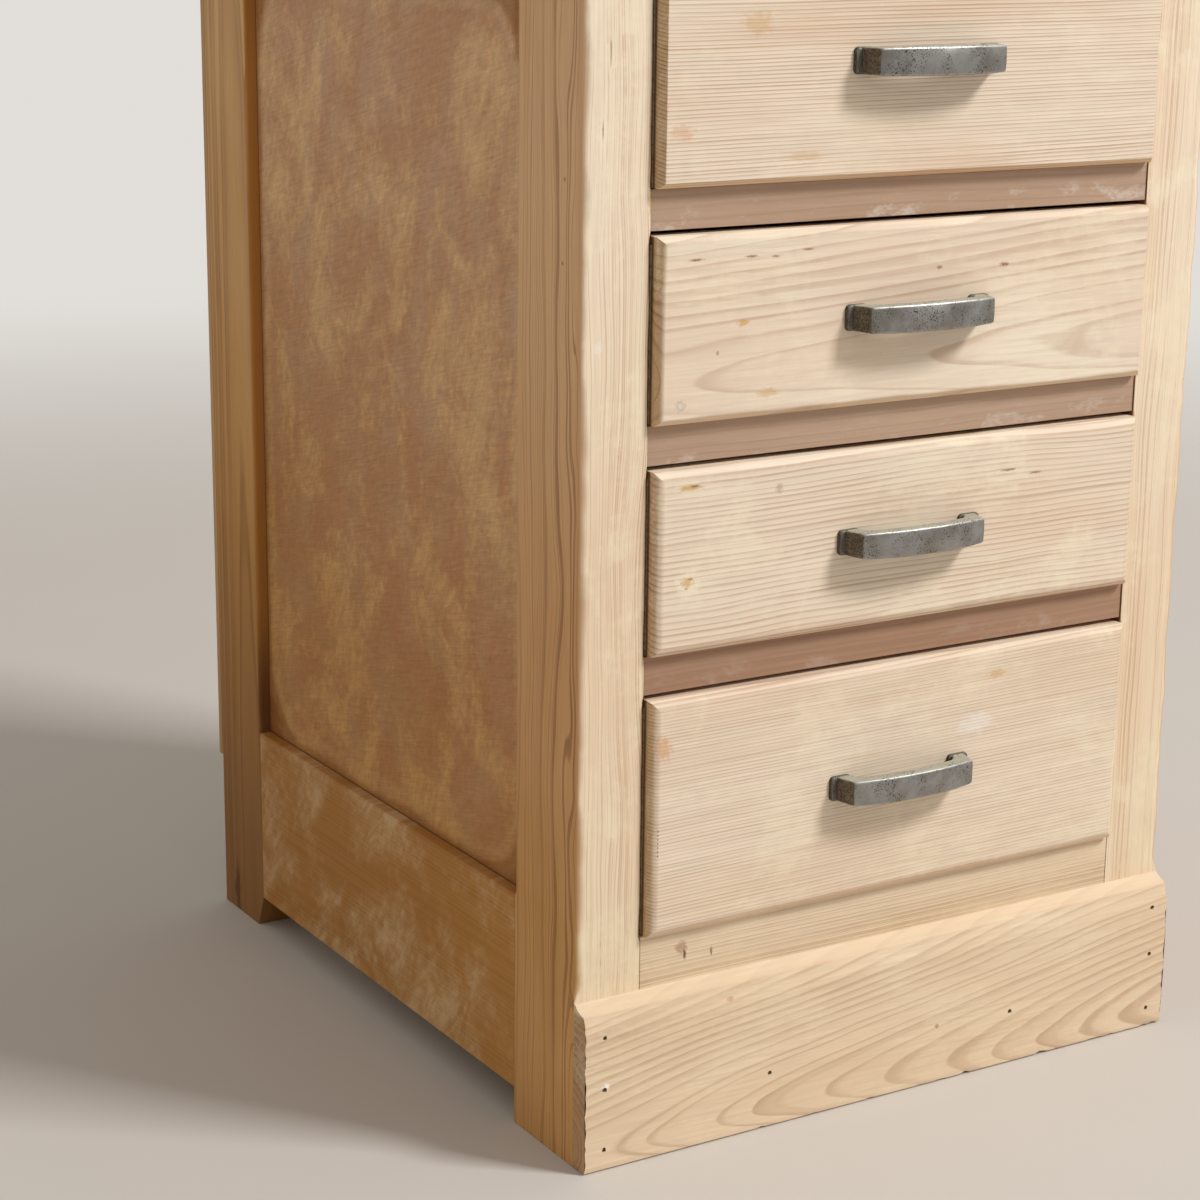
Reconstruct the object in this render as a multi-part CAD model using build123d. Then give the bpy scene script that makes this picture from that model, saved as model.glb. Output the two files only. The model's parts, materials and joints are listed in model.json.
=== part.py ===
"""Pine cabinet with four inset drawers.

A post-and-rail carcass with panelled sides stands on its four posts. A moulded plinth board covers the foot
of the front. Each drawer slides on two runners, between two guides, and is pulled by a cast bow handle.

Sizes are in millimetres. X runs across the front, Y from the front to the back and Z up. The origin is on
the floor under the middle of the whole cabinet, handles included.
"""

import math
import os

from build123d import *

# Carcass and posts
carcass_width = 500.0
carcass_depth = 562.0
post_width = 50.0
front_post_depth = 78.0
rear_post_depth = 75.0
foot_clearance = 25.5
foot_taper = 10.0
post_rounding = 7.0
opening_bevel = 1.5

# Side frames and their panels
side_rail_thickness = 26.0
side_bottom_rail_rise = 13.0
side_top_rail_height = 60.0
panel_thickness = 6.0
panel_recess = 9.0
panel_groove = 8.0
frame_bevel = 2.5
rail_bevel = 1.2

# Rails across the front and the back
rail_setback = 1.0
drawer_rail_height = 25.5
top_rail_height = 27.0
bottom_rail_thickness = 25.0
bottom_rail_reveal = 36.5
rear_rail_thickness = 22.0
rear_bottom_rail_height = 60.0

# Mortise and tenon joints
tenon_thickness = 10.0
tenon_shoulder = 10.0
side_tenon_length = 28.0
cross_tenon_length = 20.0

# Plinth board and its moulding: a slightly hollow bevel over a steep slope
plinth_height = 115.0
plinth_thickness = 15.0
plinth_clearance = 1.0
plinth_top_flat = 1.0
hollow_drop = 5.6
hollow_setback = 3.6
hollow_sag = 0.5
plinth_slope_drop = 18.0

# Top board and back panel
top_thickness = 22.0
top_overhang = 16.0
top_rounding = 4.0
back_thickness = 6.0
back_clearance = 126.0
back_lap = 30.0

# Wire nails
nail_diameter = 2.2
nail_head_diameter = 3.4
nail_head_height = 1.2
nail_length = 24.0
nail_sink = 1.2
nail_clearance = 0.1
nail_edge = 15.0
nail_end = 20.0
plinth_nail_drop = 21.0
plinth_nail_spread = 104.0
plinth_nail_height = 40.0

# Drawer openings, from the top drawer to the bottom one
opening_height_1 = 151.0
opening_height_2 = 121.0
opening_height_3 = 123.5
opening_height_4 = 164.0

# Drawers
drawer_proud = 8.5
drawer_side_gap = 1.5
drawer_top_gap = 3.0
front_lift = 0.6
running_clearance = 0.3
front_thickness = 20.0
front_bevel_depth = 4.5
front_bevel_inset = 3.2
crisp_rounding = 1.0
eased_rounding = 4.0
soft_rounding = 9.0
front_lap = 10.0
drawer_side_thickness = 12.0
drawer_side_drop = 8.0
drawer_back_thickness = 12.0
drawer_back_inset = 12.0
drawer_back_drop = 10.0
back_housing = 4.0
bottom_thickness = 5.0
bottom_lift = 9.0
bottom_groove = 6.0
drawer_rear_gap = 20.0

# Runners, guides and stops
runner_ledge = 14.0
guide_height = 20.0
stop_width = 30.0
stop_depth = 12.0
stop_clearance = 2.0
stop_place_share = 0.27

# Bow handles and their screws
handle_span = 101.0
handle_root_span = 109.0
handle_projection = 18.0
handle_bow = 7.0
handle_height = 17.0
handle_swell = 1.0
bar_thickness = 9.0
leg_thickness = 10.0
inner_corner_radius = 14.0
outer_corner_radius = 2.0
leg_corner_share = 0.75
handle_edge_radius = 0.8
pad_margin = 3.5
pad_thickness = 3.0
pad_height = 17.0
pad_edge_radius = 1.2
screw_diameter = 4.0
screw_head_diameter = 8.0
screw_head_height = 3.0
screw_grip = 9.0
screw_clearance = 0.2

# Every cut runs past the face it opens by this much
overrun = 5.0

# Rows of nails up each rear post, and places along the rear rails as shares of the opening's width
back_nail_rows = 6
back_rail_nail_shares = (-0.3, 0.0, 0.3)

# Places across the cabinet, on its left-hand side
side_x = -carcass_width / 2
inner_x = side_x + post_width
opening_width = carcass_width - 2 * post_width
post_x = (side_x, inner_x)
side_rail_x = (side_x, side_x + side_rail_thickness)
panel_x = (side_x + panel_recess, side_x + panel_recess + panel_thickness)

# Places from the front to the back, with the handles in front of the posts
handle_reach = drawer_proud + handle_projection + handle_bow
overall_depth = handle_reach + carcass_depth + back_thickness
front_y = handle_reach - overall_depth / 2
front_post_y = (front_y, front_y + front_post_depth)
rear_y = front_y + carcass_depth
rear_post_y = (rear_y - rear_post_depth, rear_y)
between_posts_y = (front_post_y[1], rear_post_y[0])
rear_rail_y = (rear_y - rear_rail_thickness, rear_y)
bottom_rail_y = (front_y, front_y + bottom_rail_thickness)
drawer_rail_y = (front_y + rail_setback, front_post_y[1])
drawer_face_y = front_y - drawer_proud
drawer_front_back_y = drawer_face_y + front_thickness
drawer_rear_y = rear_rail_y[0] - drawer_rear_gap

# The top drawer front kept its crisp edges, the lower ones are worn rounder
front_roundings = {1: crisp_rounding, 2: eased_rounding, 3: soft_rounding, 4: soft_rounding}

# The screws follow the middle of the leaning legs, half way down their grip
leg_root_x = (handle_root_span - leg_thickness) / 2
leg_lean_share = (handle_root_span - handle_span) / 2 / handle_projection
screw_x = leg_root_x - leg_lean_share * screw_grip / 2
screw_hole_diameter = screw_diameter + 2 * screw_clearance

# Heights: the openings stack up from the bottom rail, with a drawer rail between neighbours
opening_heights = {1: opening_height_1, 2: opening_height_2, 3: opening_height_3, 4: opening_height_4}
openings = {}
level = plinth_height + bottom_rail_reveal
for number in sorted(opening_heights, reverse=True):
    openings[number] = (level, level + opening_heights[number])
    level = openings[number][1] + drawer_rail_height
drawer_rail_levels = {number: (openings[number + 1][1], openings[number][0]) for number in (1, 2, 3)}
bottom_rail_z = (foot_clearance, openings[4][0])
top_rail_z = (openings[1][1], openings[1][1] + top_rail_height)
carcass_top = top_rail_z[1]
side_bottom_rail_z = (foot_clearance, openings[4][0] + side_bottom_rail_rise)
side_top_rail_z = (carcass_top - side_top_rail_height, carcass_top)
panel_opening_z = (side_bottom_rail_z[1], side_top_rail_z[0])
rear_bottom_rail_z = (back_clearance + back_lap - rear_bottom_rail_height, back_clearance + back_lap)

nodes = {}


def middle(stretch):
    """The place half way along a stretch."""
    return (stretch[0] + stretch[1]) / 2


def grown(stretch, extra):
    """A stretch made longer by the same amount at both ends."""
    return (stretch[0] - extra, stretch[1] + extra)


def centred(place, length):
    """A stretch of some length with its middle at a place."""
    return (place - length / 2, place + length / 2)


def board(x, y, z):
    """A square-edged piece of wood that fills a stretch along each axis."""
    place = [middle(stretch) for stretch in (x, y, z)]
    size = [stretch[1] - stretch[0] for stretch in (x, y, z)]
    return Pos(*place) * Box(*size)


def prism_up(points, z):
    """A prism that stands on an outline of (x, y) points."""
    outline = make_face(Polyline(*points, close=True))
    return extrude(Pos(0, 0, z[0]) * outline, amount=z[1] - z[0])


def prism_back(points, y):
    """A prism along Y from an outline of (x, z) points."""
    outline = make_face(Polyline(*points, close=True))
    plane = Plane(origin=(0, y[1], 0), x_dir=(1, 0, 0), z_dir=(0, -1, 0))
    return extrude(plane * outline, amount=y[1] - y[0])


def side_plane(y):
    """The plane of the cabinet's left side, with its own X to the back and its own Y up."""
    return Plane(origin=(side_x, y, 0), x_dir=(0, 1, 0), z_dir=(1, 0, 0))


def rod(x, y, z, diameter):
    """A round rod along Y."""
    return Pos(x, middle(y), z) * Rot(90, 0, 0) * Cylinder(diameter / 2, y[1] - y[0])


def right_hand(piece):
    """The same piece on the other side of the cabinet."""
    return mirror(piece, about=Plane.YZ)


def add_pair(name, left):
    """Keep a left-hand piece and its right-hand twin."""
    nodes[f"{name}_left"] = left
    nodes[f"{name}_right"] = right_hand(left)


def cross_tenon(y, z):
    """A bar through a rail across the cabinet and out of both its ends. It also cuts both mortises."""
    return board((inner_x - cross_tenon_length, cross_tenon_length - inner_x), y, z)


def side_tenon(z):
    """The like bar through a rail of the side frame."""
    return board(
        centred(middle(side_rail_x), tenon_thickness),
        grown(between_posts_y, side_tenon_length),
        grown(z, -tenon_shoulder),
    )


def flat_tenon(z):
    """The tenon of a rail that lies flat between the front posts."""
    return cross_tenon(grown(drawer_rail_y, -tenon_shoulder), centred(middle(z), tenon_thickness))


def upright_tenon(y, z):
    """The tenon of a rail that stands on edge between two posts."""
    return cross_tenon(centred(middle(y), tenon_thickness), grown(z, -tenon_shoulder))


flat_rail_levels = {"front_top_rail": top_rail_z}
for number, rail_z in drawer_rail_levels.items():
    flat_rail_levels[f"drawer_rail_{number}"] = rail_z
side_tenons = [side_tenon(side_bottom_rail_z), side_tenon(side_top_rail_z)]
front_tenons = [flat_tenon(rail_z) for rail_z in flat_rail_levels.values()]
front_tenons.append(upright_tenon(bottom_rail_y, bottom_rail_z))
rear_tenons = [upright_tenon(rear_rail_y, side_top_rail_z), upright_tenon(rear_rail_y, rear_bottom_rail_z)]

# The panel's edges cut the grooves that hold it
panel = board(panel_x, grown(between_posts_y, panel_groove), grown(panel_opening_z, panel_groove))

# Nails: the plinth's three at each end and two between, then the back panel's round its edge
plinth_face_y = front_y - plinth_thickness
back_face_y = rear_y + back_thickness
post_nail_x = side_x + nail_edge
plinth_end_heights = (nail_edge, plinth_height / 2, plinth_height - plinth_nail_drop)
plinth_nail_places = [(side * post_nail_x, z) for side in (-1, 1) for z in plinth_end_heights]
plinth_nail_places += [(side * plinth_nail_spread, plinth_nail_height) for side in (-1, 1)]
back_low_nail = back_clearance + nail_end
back_nail_step = (carcass_top - nail_end - back_low_nail) / (back_nail_rows - 1)
back_nail_places = [
    (side * post_nail_x, back_low_nail + row * back_nail_step)
    for side in (-1, 1)
    for row in range(back_nail_rows)
]
back_nail_places += [
    (share * opening_width, z)
    for share in back_rail_nail_shares
    for z in (middle((back_clearance, rear_bottom_rail_z[1])), middle(side_top_rail_z))
]


def nail_stretches(face_y, inward):
    """Where a nail's hole, head and shank lie along Y, for a nail driven into a face."""
    head = face_y + inward * nail_sink
    neck = head + inward * nail_head_height
    tip = head + inward * nail_length
    mouth = face_y - inward * overrun
    return [tuple(sorted(pair)) for pair in ((mouth, neck), (head, neck), (neck, tip))]


def nail(place, face_y, inward):
    """A nail with a small head, driven below the face."""
    _, head, shank = nail_stretches(face_y, inward)
    x, z = place
    return rod(x, head, z, nail_head_diameter) + rod(x, shank, z, nail_diameter)


def nail_hole(place, face_y, inward):
    """The hole that a nail leaves in what it passes through."""
    mouth, _, shank = nail_stretches(face_y, inward)
    x, z = place
    loose = 2 * nail_clearance
    wide = rod(x, mouth, z, nail_head_diameter + loose)
    return wide + rod(x, shank, z, nail_diameter + loose)


plinth_nail_holes = [nail_hole(place, plinth_face_y, 1) for place in plinth_nail_places]
back_nail_holes = [nail_hole(place, back_face_y, -1) for place in back_nail_places]


def worn_arris(z):
    """What the rounded outer arris of a front post loses: a square bar less the round that is left."""
    round_x = side_x + post_rounding
    round_y = front_y + post_rounding
    bar = board((side_x - overrun, round_x), (front_y - overrun, round_y), z)
    return bar - Pos(round_x, round_y, middle(z)) * Cylinder(post_rounding, z[1] - z[0])


def front_post():
    """The left front post, with its arris rounded above the plinth and eased beside each opening."""
    post = board(post_x, front_post_y, (0, carcass_top))
    back = front_post_y[1]
    rounding = worn_arris((plinth_height, carcass_top + overrun))
    panel_bevel = prism_up(
        [(side_x, back), (side_x + frame_bevel, back), (side_x, back - frame_bevel)], panel_opening_z
    )
    opening_bevels = [
        prism_up(
            [(inner_x, front_y), (inner_x - opening_bevel, front_y), (inner_x, front_y + opening_bevel)], z
        )
        for z in openings.values()
    ]
    cuts = front_tenons + side_tenons + plinth_nail_holes + opening_bevels
    return post - cuts - panel - rounding - panel_bevel


def rear_post():
    """The left rear post, with its foot tapered below the side rail."""
    post = board(post_x, rear_post_y, (0, carcass_top))
    edge = rear_post_y[0]
    panel_bevel = prism_up(
        [(side_x, edge), (side_x + frame_bevel, edge), (side_x, edge + frame_bevel)], panel_opening_z
    )
    foot_outline = Polyline((edge, 0), (edge + foot_taper, 0), (edge, foot_clearance), close=True)
    foot_cut = extrude(side_plane(0) * make_face(foot_outline), post_width)
    return post - rear_tenons - side_tenons - back_nail_holes - panel - panel_bevel - foot_cut


def side_rail(z, tenon, panel_edge, into):
    """A rail of the side frame, bevelled along the edge that meets the panel."""
    rail = board(side_rail_x, between_posts_y, z) + tenon
    bevel = prism_back(
        [(side_x, panel_edge), (side_x + rail_bevel, panel_edge), (side_x, panel_edge + into * rail_bevel)],
        between_posts_y,
    )
    return rail - panel - bevel


def upright_rail(y, z, holes):
    """A rail on edge between two posts."""
    return board((inner_x, -inner_x), y, z) + upright_tenon(y, z) - holes


def plinth_board():
    """The plinth: a board with a slightly hollow bevel along its top and a steep slope below the bevel."""
    face = -plinth_thickness
    flat_end = (-plinth_top_flat, plinth_height)
    hollow_end = (face + hollow_setback, plinth_height - hollow_drop)
    slope_end = (face, plinth_height - plinth_slope_drop)
    chord = Vector(*hollow_end) - Vector(*flat_end)
    sag = (Vector(*flat_end) + Vector(*hollow_end)) / 2 + chord.rotate(Axis.Z, 90).normalized() * hollow_sag
    hollow = ThreePointArc(flat_end, sag, hollow_end)
    rest = Polyline(
        hollow_end, slope_end, (face, plinth_clearance), (0, plinth_clearance), (0, plinth_height), flat_end
    )
    section = side_plane(front_y) * make_face(hollow + rest)
    return extrude(section, carcass_width) - plinth_nail_holes


def top_board():
    """The top, flush with the back panel, with its other three upper edges rounded."""
    top = board(
        (side_x - top_overhang, top_overhang - side_x),
        (front_y - top_overhang, back_face_y),
        (carcass_top, carcass_top + top_thickness),
    )
    rim = top.faces().sort_by(Axis.Z)[-1].edges()
    back_edge = rim.sort_by(Axis.Y)[-1]
    return fillet([edge for edge in rim if edge != back_edge], top_rounding)


def runner(z):
    """A bar between the posts with a ledge under, or over, a drawer's side."""
    return board((side_rail_x[1], inner_x + runner_ledge), between_posts_y, z)


def guide(opening):
    """A bar on a runner, flush with the posts, that keeps a drawer straight."""
    return board((side_rail_x[1], inner_x), between_posts_y, (opening[0], opening[0] + guide_height))


def stop(opening, side):
    """A block behind a drawer front that stops the drawer as it closes."""
    front = drawer_front_back_y + running_clearance
    return board(
        centred(side * stop_place_share * opening_width, stop_width),
        (front, front + stop_depth),
        (opening[0], opening[0] + bottom_lift - stop_clearance),
    )


def build_carcass():
    """Fill in the nodes of the fixed part of the cabinet."""
    add_pair("front_post", front_post())
    add_pair("rear_post", rear_post())
    add_pair("side_panel", panel)
    add_pair("side_bottom_rail", side_rail(side_bottom_rail_z, side_tenons[0], panel_opening_z[0], -1))
    add_pair("side_top_rail", side_rail(side_top_rail_z, side_tenons[1], panel_opening_z[1], 1))
    for name, z in flat_rail_levels.items():
        nodes[name] = board((inner_x, -inner_x), drawer_rail_y, z) + flat_tenon(z)
    nodes["front_bottom_rail"] = upright_rail(bottom_rail_y, bottom_rail_z, plinth_nail_holes)
    nodes["rear_top_rail"] = upright_rail(rear_rail_y, side_top_rail_z, back_nail_holes)
    nodes["rear_bottom_rail"] = upright_rail(rear_rail_y, rear_bottom_rail_z, back_nail_holes)
    nodes["plinth_board"] = plinth_board()
    nodes["top_board"] = top_board()
    back = board((side_x, -side_x), (rear_y, back_face_y), (back_clearance, carcass_top))
    nodes["back_panel"] = back - back_nail_holes
    plinth_nails = [nail(place, plinth_face_y, 1) for place in plinth_nail_places]
    back_nails = [nail(place, back_face_y, -1) for place in back_nail_places]
    nodes["wire_nails"] = Compound(plinth_nails + back_nails)
    for number, opening in openings.items():
        add_pair(f"runner_{number}", runner((opening[0] - drawer_rail_height, opening[0])))
    guides = [guide(opening) for opening in openings.values()]
    nodes["drawer_guides"] = Compound(guides + [right_hand(bar) for bar in guides])
    kicker = runner(top_rail_z)
    nodes["top_kickers"] = Compound([kicker, right_hand(kicker)])
    stops = [stop(opening, side) for opening in openings.values() for side in (-1, 1)]
    nodes["drawer_stops"] = Compound(stops)


def bevelled_front(x, z, rounding):
    """A drawer front whose four face edges are planed to a bevel and then rounded."""
    bevel_y = drawer_face_y + front_bevel_depth
    back = board(x, (bevel_y, drawer_front_back_y), z)
    plane = Plane(origin=(middle(x), bevel_y, middle(z)), x_dir=(1, 0, 0), z_dir=(0, -1, 0))
    slope = math.degrees(math.atan2(front_bevel_inset, front_bevel_depth))
    face = extrude(plane * Rectangle(x[1] - x[0], z[1] - z[0]), amount=front_bevel_depth, taper=slope)
    front = back + face
    return fillet(front.faces().sort_by(Axis.Y)[0].edges(), rounding)


def bow_outline(root, corner, reach, crown, rounding):
    """A bow seen from above: two leaning legs joined by a crowned bar, with corners that fit the legs."""
    bar = ThreePointArc((-corner, -reach), (0, -crown), (corner, -reach))
    leg = Line((corner, -reach), (root, 0))
    legs = Polyline((corner, -reach), (root, 0), (-root, 0), (-corner, -reach))
    outline = make_face(bar + legs)
    turn = math.radians((bar % 1).get_angle(leg % 0))
    widest = leg_corner_share * leg.length / math.tan(turn / 2)
    return fillet(outline.vertices().sort_by(Axis.Y)[:2], min(rounding, widest))


def swollen_band(half_length, depth):
    """The band that the bow is cut to: from the front, a little taller at its middle than its ends."""
    half = handle_height / 2
    crown = half + handle_swell
    top = ThreePointArc((-half_length, half), (0, crown), (half_length, half))
    low = ThreePointArc((half_length, -half), (0, -crown), (-half_length, -half))
    right_end = Line((half_length, half), (half_length, -half))
    left_end = Line((-half_length, -half), (-half_length, half))
    return extrude(Plane.XZ * make_face(top + right_end + low + left_end), depth)


def bow_handle():
    """A cast handle with its feet on the XZ plane: a crowned bar on two legs, each with a moulded pad."""
    root = handle_root_span / 2
    corner = handle_span / 2
    crown = handle_projection + handle_bow
    outer = bow_outline(root, corner, handle_projection, crown, outer_corner_radius)
    inner = bow_outline(
        root - leg_thickness,
        corner - leg_thickness,
        handle_projection - bar_thickness,
        crown - bar_thickness,
        inner_corner_radius,
    )
    bow = extrude(outer - inner, handle_height, both=True) & swollen_band(root + overrun, crown + overrun)
    free_edges = [edge for edge in bow.edges() if edge.center().Y < -handle_edge_radius]
    bow = fillet(free_edges, handle_edge_radius)
    pad_width = leg_thickness + 2 * pad_margin
    pad = board(centred(leg_root_x, pad_width), (-pad_thickness, 0), centred(0, pad_height))
    pad = fillet(pad.faces().sort_by(Axis.Y)[0].edges(), pad_edge_radius)
    blind_hole = rod(screw_x, (-screw_grip - screw_clearance, overrun), 0, screw_hole_diameter)
    return bow + pad + right_hand(pad) - blind_hole - right_hand(blind_hole)


def handle_screw(side, z):
    """A screw from inside a drawer, with its head against the back of the front."""
    x = side * screw_x
    head = (drawer_front_back_y, drawer_front_back_y + screw_head_height)
    shank = (drawer_face_y - screw_grip, drawer_front_back_y)
    return rod(x, head, z, screw_head_diameter) + rod(x, shank, z, screw_diameter)


def build_drawer(number, rounding):
    """Fill in the nodes of one drawer, shut in its opening."""
    low, high = openings[number]
    half = opening_width / 2 - drawer_side_gap
    front_z = (low + front_lift, high - drawer_top_gap)
    side_z = (low + running_clearance, high - drawer_side_drop)
    side_inner = half - drawer_side_thickness
    side_y = (drawer_front_back_y - front_lap, drawer_rear_y)
    bottom_z = (side_z[0] + bottom_lift, side_z[0] + bottom_lift + bottom_thickness)
    back_rear_y = drawer_rear_y - drawer_back_inset
    back_y = (back_rear_y - drawer_back_thickness, back_rear_y)
    inside_x = (-side_inner, side_inner)
    side = board((-half, -side_inner), side_y, side_z)
    back = board(grown(inside_x, back_housing), back_y, (bottom_z[1], side_z[1] - drawer_back_drop))
    bottom_y = (drawer_front_back_y - bottom_groove, back_y[1])
    bottom = board(grown(inside_x, bottom_groove), bottom_y, bottom_z)
    handle_z = middle(front_z)
    screw_hole_y = grown((drawer_face_y, drawer_front_back_y), overrun)
    screw_hole = rod(screw_x, screw_hole_y, handle_z, screw_hole_diameter)
    front = bevelled_front((-half, half), front_z, rounding)
    cut_side = side - bottom - back

    name = f"drawer_{number}"
    nodes[f"{name}_front"] = front - bottom - side - right_hand(side) - screw_hole - right_hand(screw_hole)
    add_pair(f"{name}_side", cut_side)
    nodes[f"{name}_back"] = back
    nodes[f"{name}_bottom"] = bottom
    nodes[f"{name}_handle"] = Pos(0, drawer_face_y, handle_z) * bow_handle()
    nodes[f"{name}_handle_screws"] = Compound([handle_screw(side, handle_z) for side in (-1, 1)])


build_carcass()
for number, rounding in front_roundings.items():
    build_drawer(number, rounding)

os.makedirs("parts", exist_ok=True)
for name, piece in nodes.items():
    export_step(piece, f"parts/{name}.step")
print(len(nodes), "pieces written")
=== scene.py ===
"""Stripped pine cabinet with four drawers: its worn wood, cast handles, floor, light and camera.

Lengths are in metres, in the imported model's own frame: X across the front, Y to the back and Z up.
"""

import json
import math

import bpy
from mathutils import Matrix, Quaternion, Vector, noise

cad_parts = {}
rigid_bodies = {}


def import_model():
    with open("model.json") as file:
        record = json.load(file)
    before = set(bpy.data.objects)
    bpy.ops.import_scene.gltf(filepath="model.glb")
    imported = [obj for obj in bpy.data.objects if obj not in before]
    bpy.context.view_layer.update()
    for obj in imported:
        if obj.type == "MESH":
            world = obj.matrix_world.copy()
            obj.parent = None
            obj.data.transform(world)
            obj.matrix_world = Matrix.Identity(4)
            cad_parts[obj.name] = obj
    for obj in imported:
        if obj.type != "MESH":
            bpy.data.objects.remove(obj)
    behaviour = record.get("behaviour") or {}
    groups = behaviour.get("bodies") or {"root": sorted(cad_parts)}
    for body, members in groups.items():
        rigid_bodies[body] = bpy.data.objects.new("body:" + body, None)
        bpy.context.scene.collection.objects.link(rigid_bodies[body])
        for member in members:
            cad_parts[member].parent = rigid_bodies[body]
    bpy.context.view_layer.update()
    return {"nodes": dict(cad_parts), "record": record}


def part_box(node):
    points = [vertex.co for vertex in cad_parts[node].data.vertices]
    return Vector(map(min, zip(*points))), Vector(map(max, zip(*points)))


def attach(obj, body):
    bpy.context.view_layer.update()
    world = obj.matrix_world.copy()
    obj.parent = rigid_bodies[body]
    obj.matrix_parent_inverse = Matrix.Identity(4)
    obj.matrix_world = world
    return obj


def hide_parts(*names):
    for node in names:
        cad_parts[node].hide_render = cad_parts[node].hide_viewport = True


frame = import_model()
nodes = frame["nodes"]
record = frame["record"]
node_bodies = {node: body for body, members in record["behaviour"]["bodies"].items() for node in members}
drawers = (1, 2, 3, 4)
hands = ("left", "right")

# Places taken from the frame
post_low, post_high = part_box("front_post_left")
rear_low, rear_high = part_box("rear_post_left")
plinth_low, plinth_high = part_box("plinth_board")
panel_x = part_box("side_panel_left")[0].x
side_rail_low, side_rail_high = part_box("side_bottom_rail_left")
side_top_low, side_top_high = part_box("side_top_rail_left")
inner_x = post_high.x
panel_span_y = (post_high.y, rear_low.y)
panel_span_z = (side_rail_high.z, side_top_low.z)
handle_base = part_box("drawer_1_handle")[1].y

# Wear and roundings of the wood
fine_arris = 0.0005
soft_arris = 0.0012
post_arris = 0.0066
opening_arris = 0.0016
frame_arris = 0.0024
top_arris = 0.0038
arris_wave = 0.05
rub_fade = 0.012
ease_fade = 0.004
frame_fade = 0.003
foot_taper = 0.010
foot_rise = side_rail_low.z
corner_steps = 4
fine_pitch = 0.004
coarse_pitch = 0.012

# Moulding of the plinth
plinth_flat = 0.0010
hollow_drop = 0.0056
hollow_setback = 0.0036
hollow_sag = 0.0005
slope_drop = 0.018
hollow_steps = 8
slope_steps = 4
plinth_face_steps = 34
plinth_chip = 0.0030
chip_length = 0.006
hollow_waver = 0.0004
slope_waver = 0.0012
foot_lip = 0.0012
foot_lip_setback = 0.0004
fray = 0.0008
fray_coarse = 0.0011
fray_fine = 0.0008

# Nails in the plinth
nail_edge = 0.015
nail_spread = 0.104
nail_low = 0.040
nail_top_drop = 0.021
nail_hole_radius = 0.0017
nail_hole_depth = 0.0050
nail_hole_sides = 12

# Drawer fronts
front_bevel_depth = 0.0045
front_bevel_inset = 0.0032
crisp_blend = 0.00045
eased_blend = 0.0022
soft_blend = 0.0044
crisp_waver = 0.0003
planed_waver = 0.0007
waver_fade = 0.002
rubbed_depth = 0.0002
rubbed_fade = 0.0012
level_face = 1e-6
lap_gap = 0.0001
edge_lines = (0.0, 0.0008, 0.0015, 0.0021, 0.0025, 0.0029, 0.0033, 0.0037, 0.0042, 0.0048, 0.0056, 0.0070)
face_pitch = 0.006

# Handles
handle_root = 0.0545
handle_corner = 0.0505
handle_projection = 0.018
handle_crown = 0.0249
bar_thickness = 0.009
leg_thickness = 0.010
handle_half_height = 0.0085
handle_swell = 0.001
handle_edge = 0.0019
handle_cushion = 0.0013
cushion_steps = 5
outer_corner = 0.0020
inner_corner = 0.0060
pad_half_width = 0.0085
pad_half_height = 0.0085
pad_thickness = 0.003
pad_edge = 0.0016
pad_corner = 0.0030
casting_unevenness = 0.00016
casting_lumps = 160
leg_points = 6
corner_points = 5
bow_points = 26


def smooth(value, low, high):
    """0 below low, 1 above high and a smooth rise between them."""
    share = min(1.0, max(0.0, (value - low) / (high - low)))
    return share * share * (3 - 2 * share)


def wander(place, seed, step):
    """A smooth unevenness along a length, between about -1 and 1 and the same at each run."""
    return noise.noise(Vector((place / step, seed, 0.37)))


def srgb(red, green, blue):
    """A linear colour from a picture's red, green and blue, from 0 to 255."""

    def linear(level):
        share = level / 255
        return share / 12.92 if share <= 0.04045 else ((share + 0.055) / 1.055) ** 2.4

    return (linear(red), linear(green), linear(blue), 1.0)


# Shapes

def add_object(name, data):
    """An object in the scene that shows a mesh, a lamp or a lens."""
    made = bpy.data.objects.new(name, data)
    bpy.context.scene.collection.objects.link(made)
    return made


def skin(rows, count):
    """Faces over a stack of closed rings, with both ends shut."""
    faces = []
    for row in range(rows - 1):
        for k in range(count):
            here = row * count + k
            beside = row * count + (k + 1) % count
            faces.append((here, beside, beside + count, here + count))
    last = (rows - 1) * count
    faces.append(tuple(reversed(range(count))))
    faces.append(tuple(range(last, last + count)))
    return faces


def make_piece(node, suffix, points, faces, arris, mirrored=False, crease=math.radians(50)):
    """A piece that stands for a node: it rides on the node's body and the node is hidden."""
    if mirrored:
        points = [(-x, y, z) for x, y, z in points]
        faces = [tuple(reversed(face)) for face in faces]
    mesh = bpy.data.meshes.new(f"{node}_{suffix}")
    mesh.from_pydata([tuple(point) for point in points], [], faces)
    mesh.attributes.new("arris", "FLOAT", "POINT").data.foreach_set("value", arris)
    mesh.shade_smooth()
    mesh.set_sharp_from_angle(angle=crease)
    piece = add_object(mesh.name, mesh)
    shading = piece.modifiers.new("even_shading", "WEIGHTED_NORMAL")
    shading.keep_sharp = True
    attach(piece, node_bodies[node])
    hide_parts(node)
    return piece


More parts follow.
